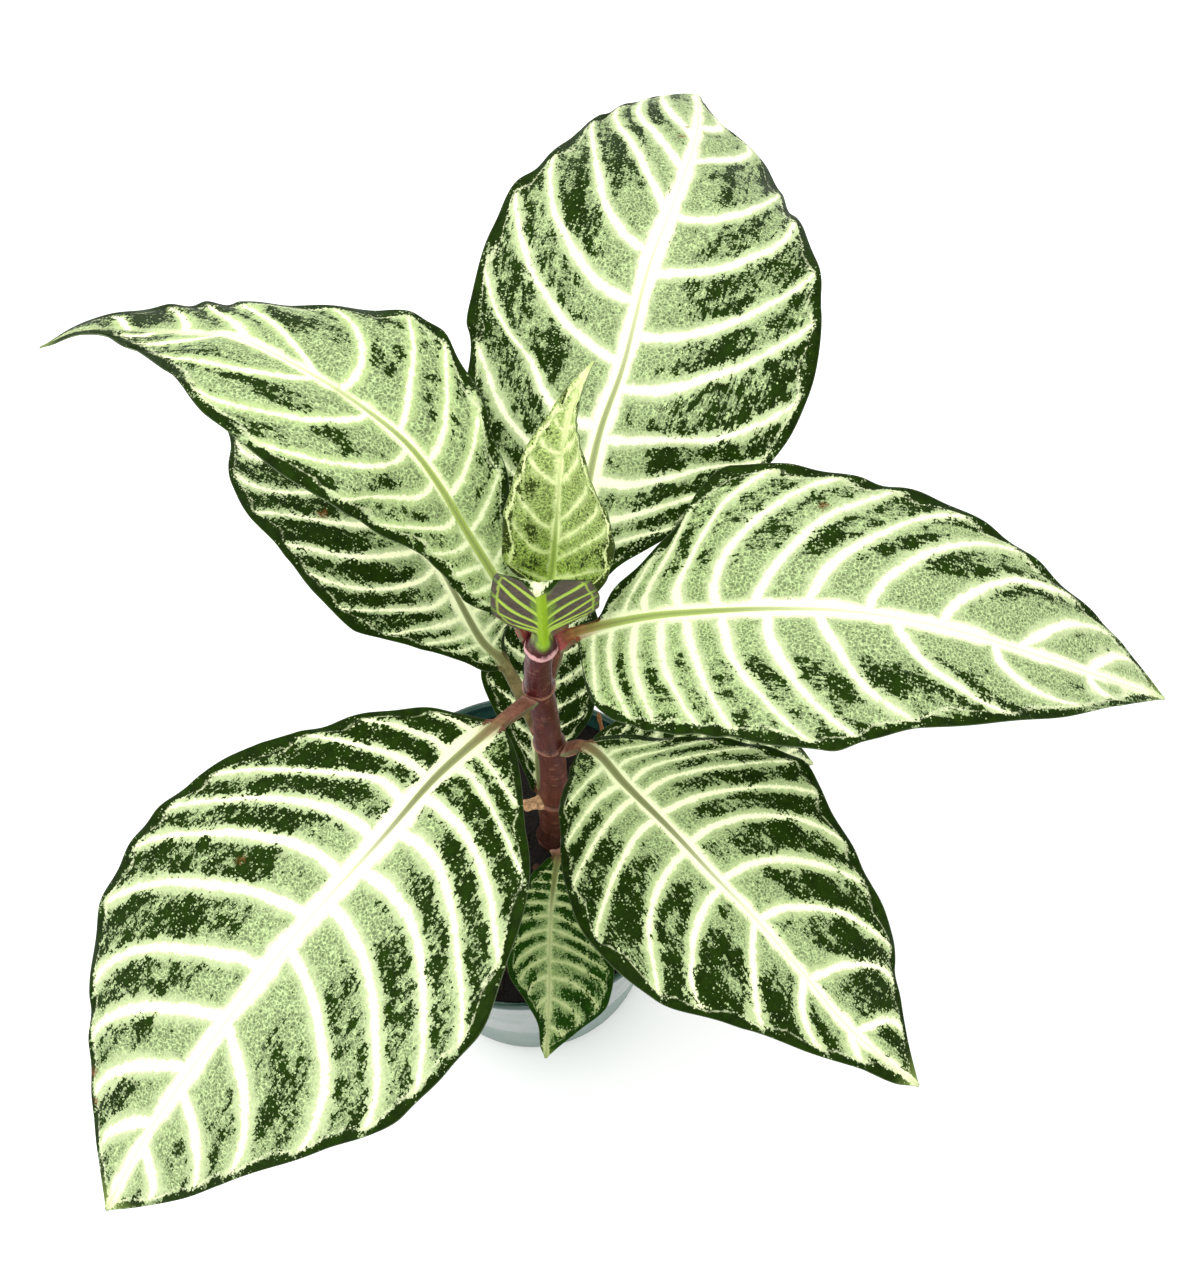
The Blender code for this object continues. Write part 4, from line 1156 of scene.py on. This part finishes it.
def make_soil():
    """The soil's rough surface and, below it, the plain block that fills the pot."""
    edge = inner_radius(SOIL_EDGE) - SOIL_GAP
    radii = edge * np.linspace(0, 1, 90)[1:][::-1]
    angles = turns(SOIL_COLUMNS)
    x, y = radii[:, None] * np.cos(angles), radii[:, None] * np.sin(angles)
    top = np.stack([x, y, soil_height(x, y)], -1)
    block = [
        (inner_radius(6) - 4, FLOOR_THICKNESS + 0.2),
        (inner_radius(6) - 0.2, 6),
        (inner_radius(40) - SOIL_GAP, 40),
        (edge, SOIL_EDGE - 3),
    ]
    walls = rings_along([(0, 0, z) for _, z in block], [r for r, _ in block], SOIL_COLUMNS)
    mesh = grid_mesh("soil_skin", np.concatenate([walls, top]))
    store(mesh, "tone", np.zeros((len(mesh.vertices), 3)))
    new_piece("soil_detailed", mesh, [soil_paint("potting_soil_fine")], "potting_soil", "soil")


def unit_ball():
    """Points and faces of a small round ball."""
    mesh = bpy.data.meshes.new("ball")
    shell = bmesh.new()
    bmesh.ops.create_icosphere(shell, subdivisions=2, radius=1)
    shell.to_mesh(mesh)
    shell.free()
    points = np.array([v.co[:] for v in mesh.vertices])
    faces = np.array([p.vertices[:] for p in mesh.polygons])
    bpy.data.meshes.remove(mesh)
    return points, faces


def crumb_shape(rng, ball, is_fibre, size):
    """A lumpy ball, or a thin fibre, at a random turn and tilt."""
    stretch = np.array([rng.uniform(2.0, 5.0), 0.35, 0.3]) if is_fibre else rng.uniform(0.6, 1.2, 3)
    lumps = 1 + 0.22 * np.sin(ball @ rng.normal(0, 3, 3) + rng.uniform(0, 6))
    turn = rng.uniform(0, 2 * math.pi)
    tilt = rng.uniform(-0.2, 0.2)
    body = ball * lumps[:, None] * stretch * size
    cos, sin = math.cos(tilt), math.sin(tilt)
    body = body @ np.array([[cos, 0, sin], [0, 1, 0], [-sin, 0, cos]])
    cos, sin = math.cos(turn), math.sin(turn)
    return body @ np.array([[cos, sin, 0], [-sin, cos, 0], [0, 0, 1]])


def make_crumbs():
    """Crumbs of peat, bark fibres and a few grains of perlite lying on the soil."""
    rng = np.random.default_rng(CRUMB_SEED)
    ball, ball_faces = unit_ball()
    reach = (inner_radius(SOIL_EDGE) - 3) * np.sqrt(rng.random(CRUMBS))
    turn = 2 * math.pi * rng.random(CRUMBS)
    sizes = 0.5 + 1.5 * rng.random(CRUMBS) ** 2.5
    tones = rng.random(CRUMBS) ** 2
    points, faces, tone_rows = [], [], []
    for i in range(CRUMBS):
        body = crumb_shape(rng, ball, i % FIBRE_EVERY == 0, sizes[i])
        x, y = reach[i] * np.cos(turn[i]), reach[i] * np.sin(turn[i])
        points.append(body + (x, y, soil_height(x, y) + 0.2 * sizes[i]))
        faces.append(ball_faces + len(ball) * i)
        is_perlite = i % PERLITE_EVERY == 3
        tone_rows.append(np.tile((tones[i], is_perlite, 0), (len(ball), 1)))
    mesh = new_mesh("soil_crumbs", np.concatenate(points), np.concatenate(faces).tolist())
    store(mesh, "tone", np.concatenate(tone_rows))
    new_piece("soil_crumbs", mesh, [soil_paint("soil_crumbs_fine")], "potting_soil")


def stick_paint():
    """Orange-brown bark with a long grain."""
    paint = Paint("bark_sliver_fine")
    grain = paint.grain(paint.stretched(paint.position_mm(), (1.5, 1.5, 0.3)), 1.0, 5, 0.7)
    paint.bump(grain, 0.5, 0.8)
    colour = paint.shade((0.30, 0.13, 0.045), paint.span(grain, -0.25, 0.25, 0.4, 1.4))
    return paint.finish(colour, 0.8, 0.2)


def make_stick():
    """A sliver of bark that stands in the soil and leans on the back of the rim."""
    start, end = np.array(STICK_FOOT), np.array(STICK_TOP)
    share = np.linspace(0, 1, 24)[:, None]
    centres = start + (end - start) * share + 0.5 * np.sin(share * 5) * (1, 0, 0)
    radii = 1.1 - 0.4 * share[:, 0] + 0.15 * np.sin(share[:, 0] * 23)
    mesh = grid_mesh("bark_sliver", rings_along(centres, radii, 16))
    new_piece("bark_sliver", mesh, [stick_paint()], "potting_soil")


def make_light():
    """An even white surrounding, and one large soft lamp up to the left."""
    world = bpy.data.worlds.new("studio")
    world.use_nodes = True
    sky = world.node_tree.nodes["Background"]
    sky.inputs["Color"].default_value = (1, 1, 1, 1)
    sky.inputs["Strength"].default_value = 1.25
    bpy.context.scene.world = world
    bpy.context.scene.view_settings.view_transform = "Standard"
    data = bpy.data.lights.new("soft_box", "AREA")
    data.shape = "DISK"
    data.size = 1.6
    data.energy = 22
    lamp = linked("soft_box", data)
    lamp.location = (-0.5, -0.3, 1.9)
    lamp.rotation_euler = (math.radians(-8), math.radians(-14), 0)


def make_floor():
    corners = [(-FLOOR_REACH, -FLOOR_REACH, 0), (FLOOR_REACH, -FLOOR_REACH, 0),
               (FLOOR_REACH, FLOOR_REACH, 0), (-FLOOR_REACH, FLOOR_REACH, 0)]
    floor = linked("floor", new_mesh("floor", np.array(corners), [(0, 1, 2, 3)]))
    floor.data.materials.append(Paint("floor_paper").finish((0.97, 0.97, 0.97), 0.8))


def make_camera():
    data = bpy.data.cameras.new("camera")
    data.lens = CAMERA_LENS
    data.sensor_width = 36
    camera = linked("camera", data)
    camera.location = CAMERA_PLACE
    camera.rotation_euler = (math.radians(CAMERA_TILT), 0, 0)
    bpy.context.scene.camera = camera


def main():
    make_light()
    make_floor()
    make_camera()
    for seed, (name, leaf) in enumerate(LEAVES.items(), start=1):
        make_leaf(name, leaf, seed)
    make_stem()
    make_stub()
    make_pot()
    make_soil()
    make_crumbs()
    make_stick()


main()
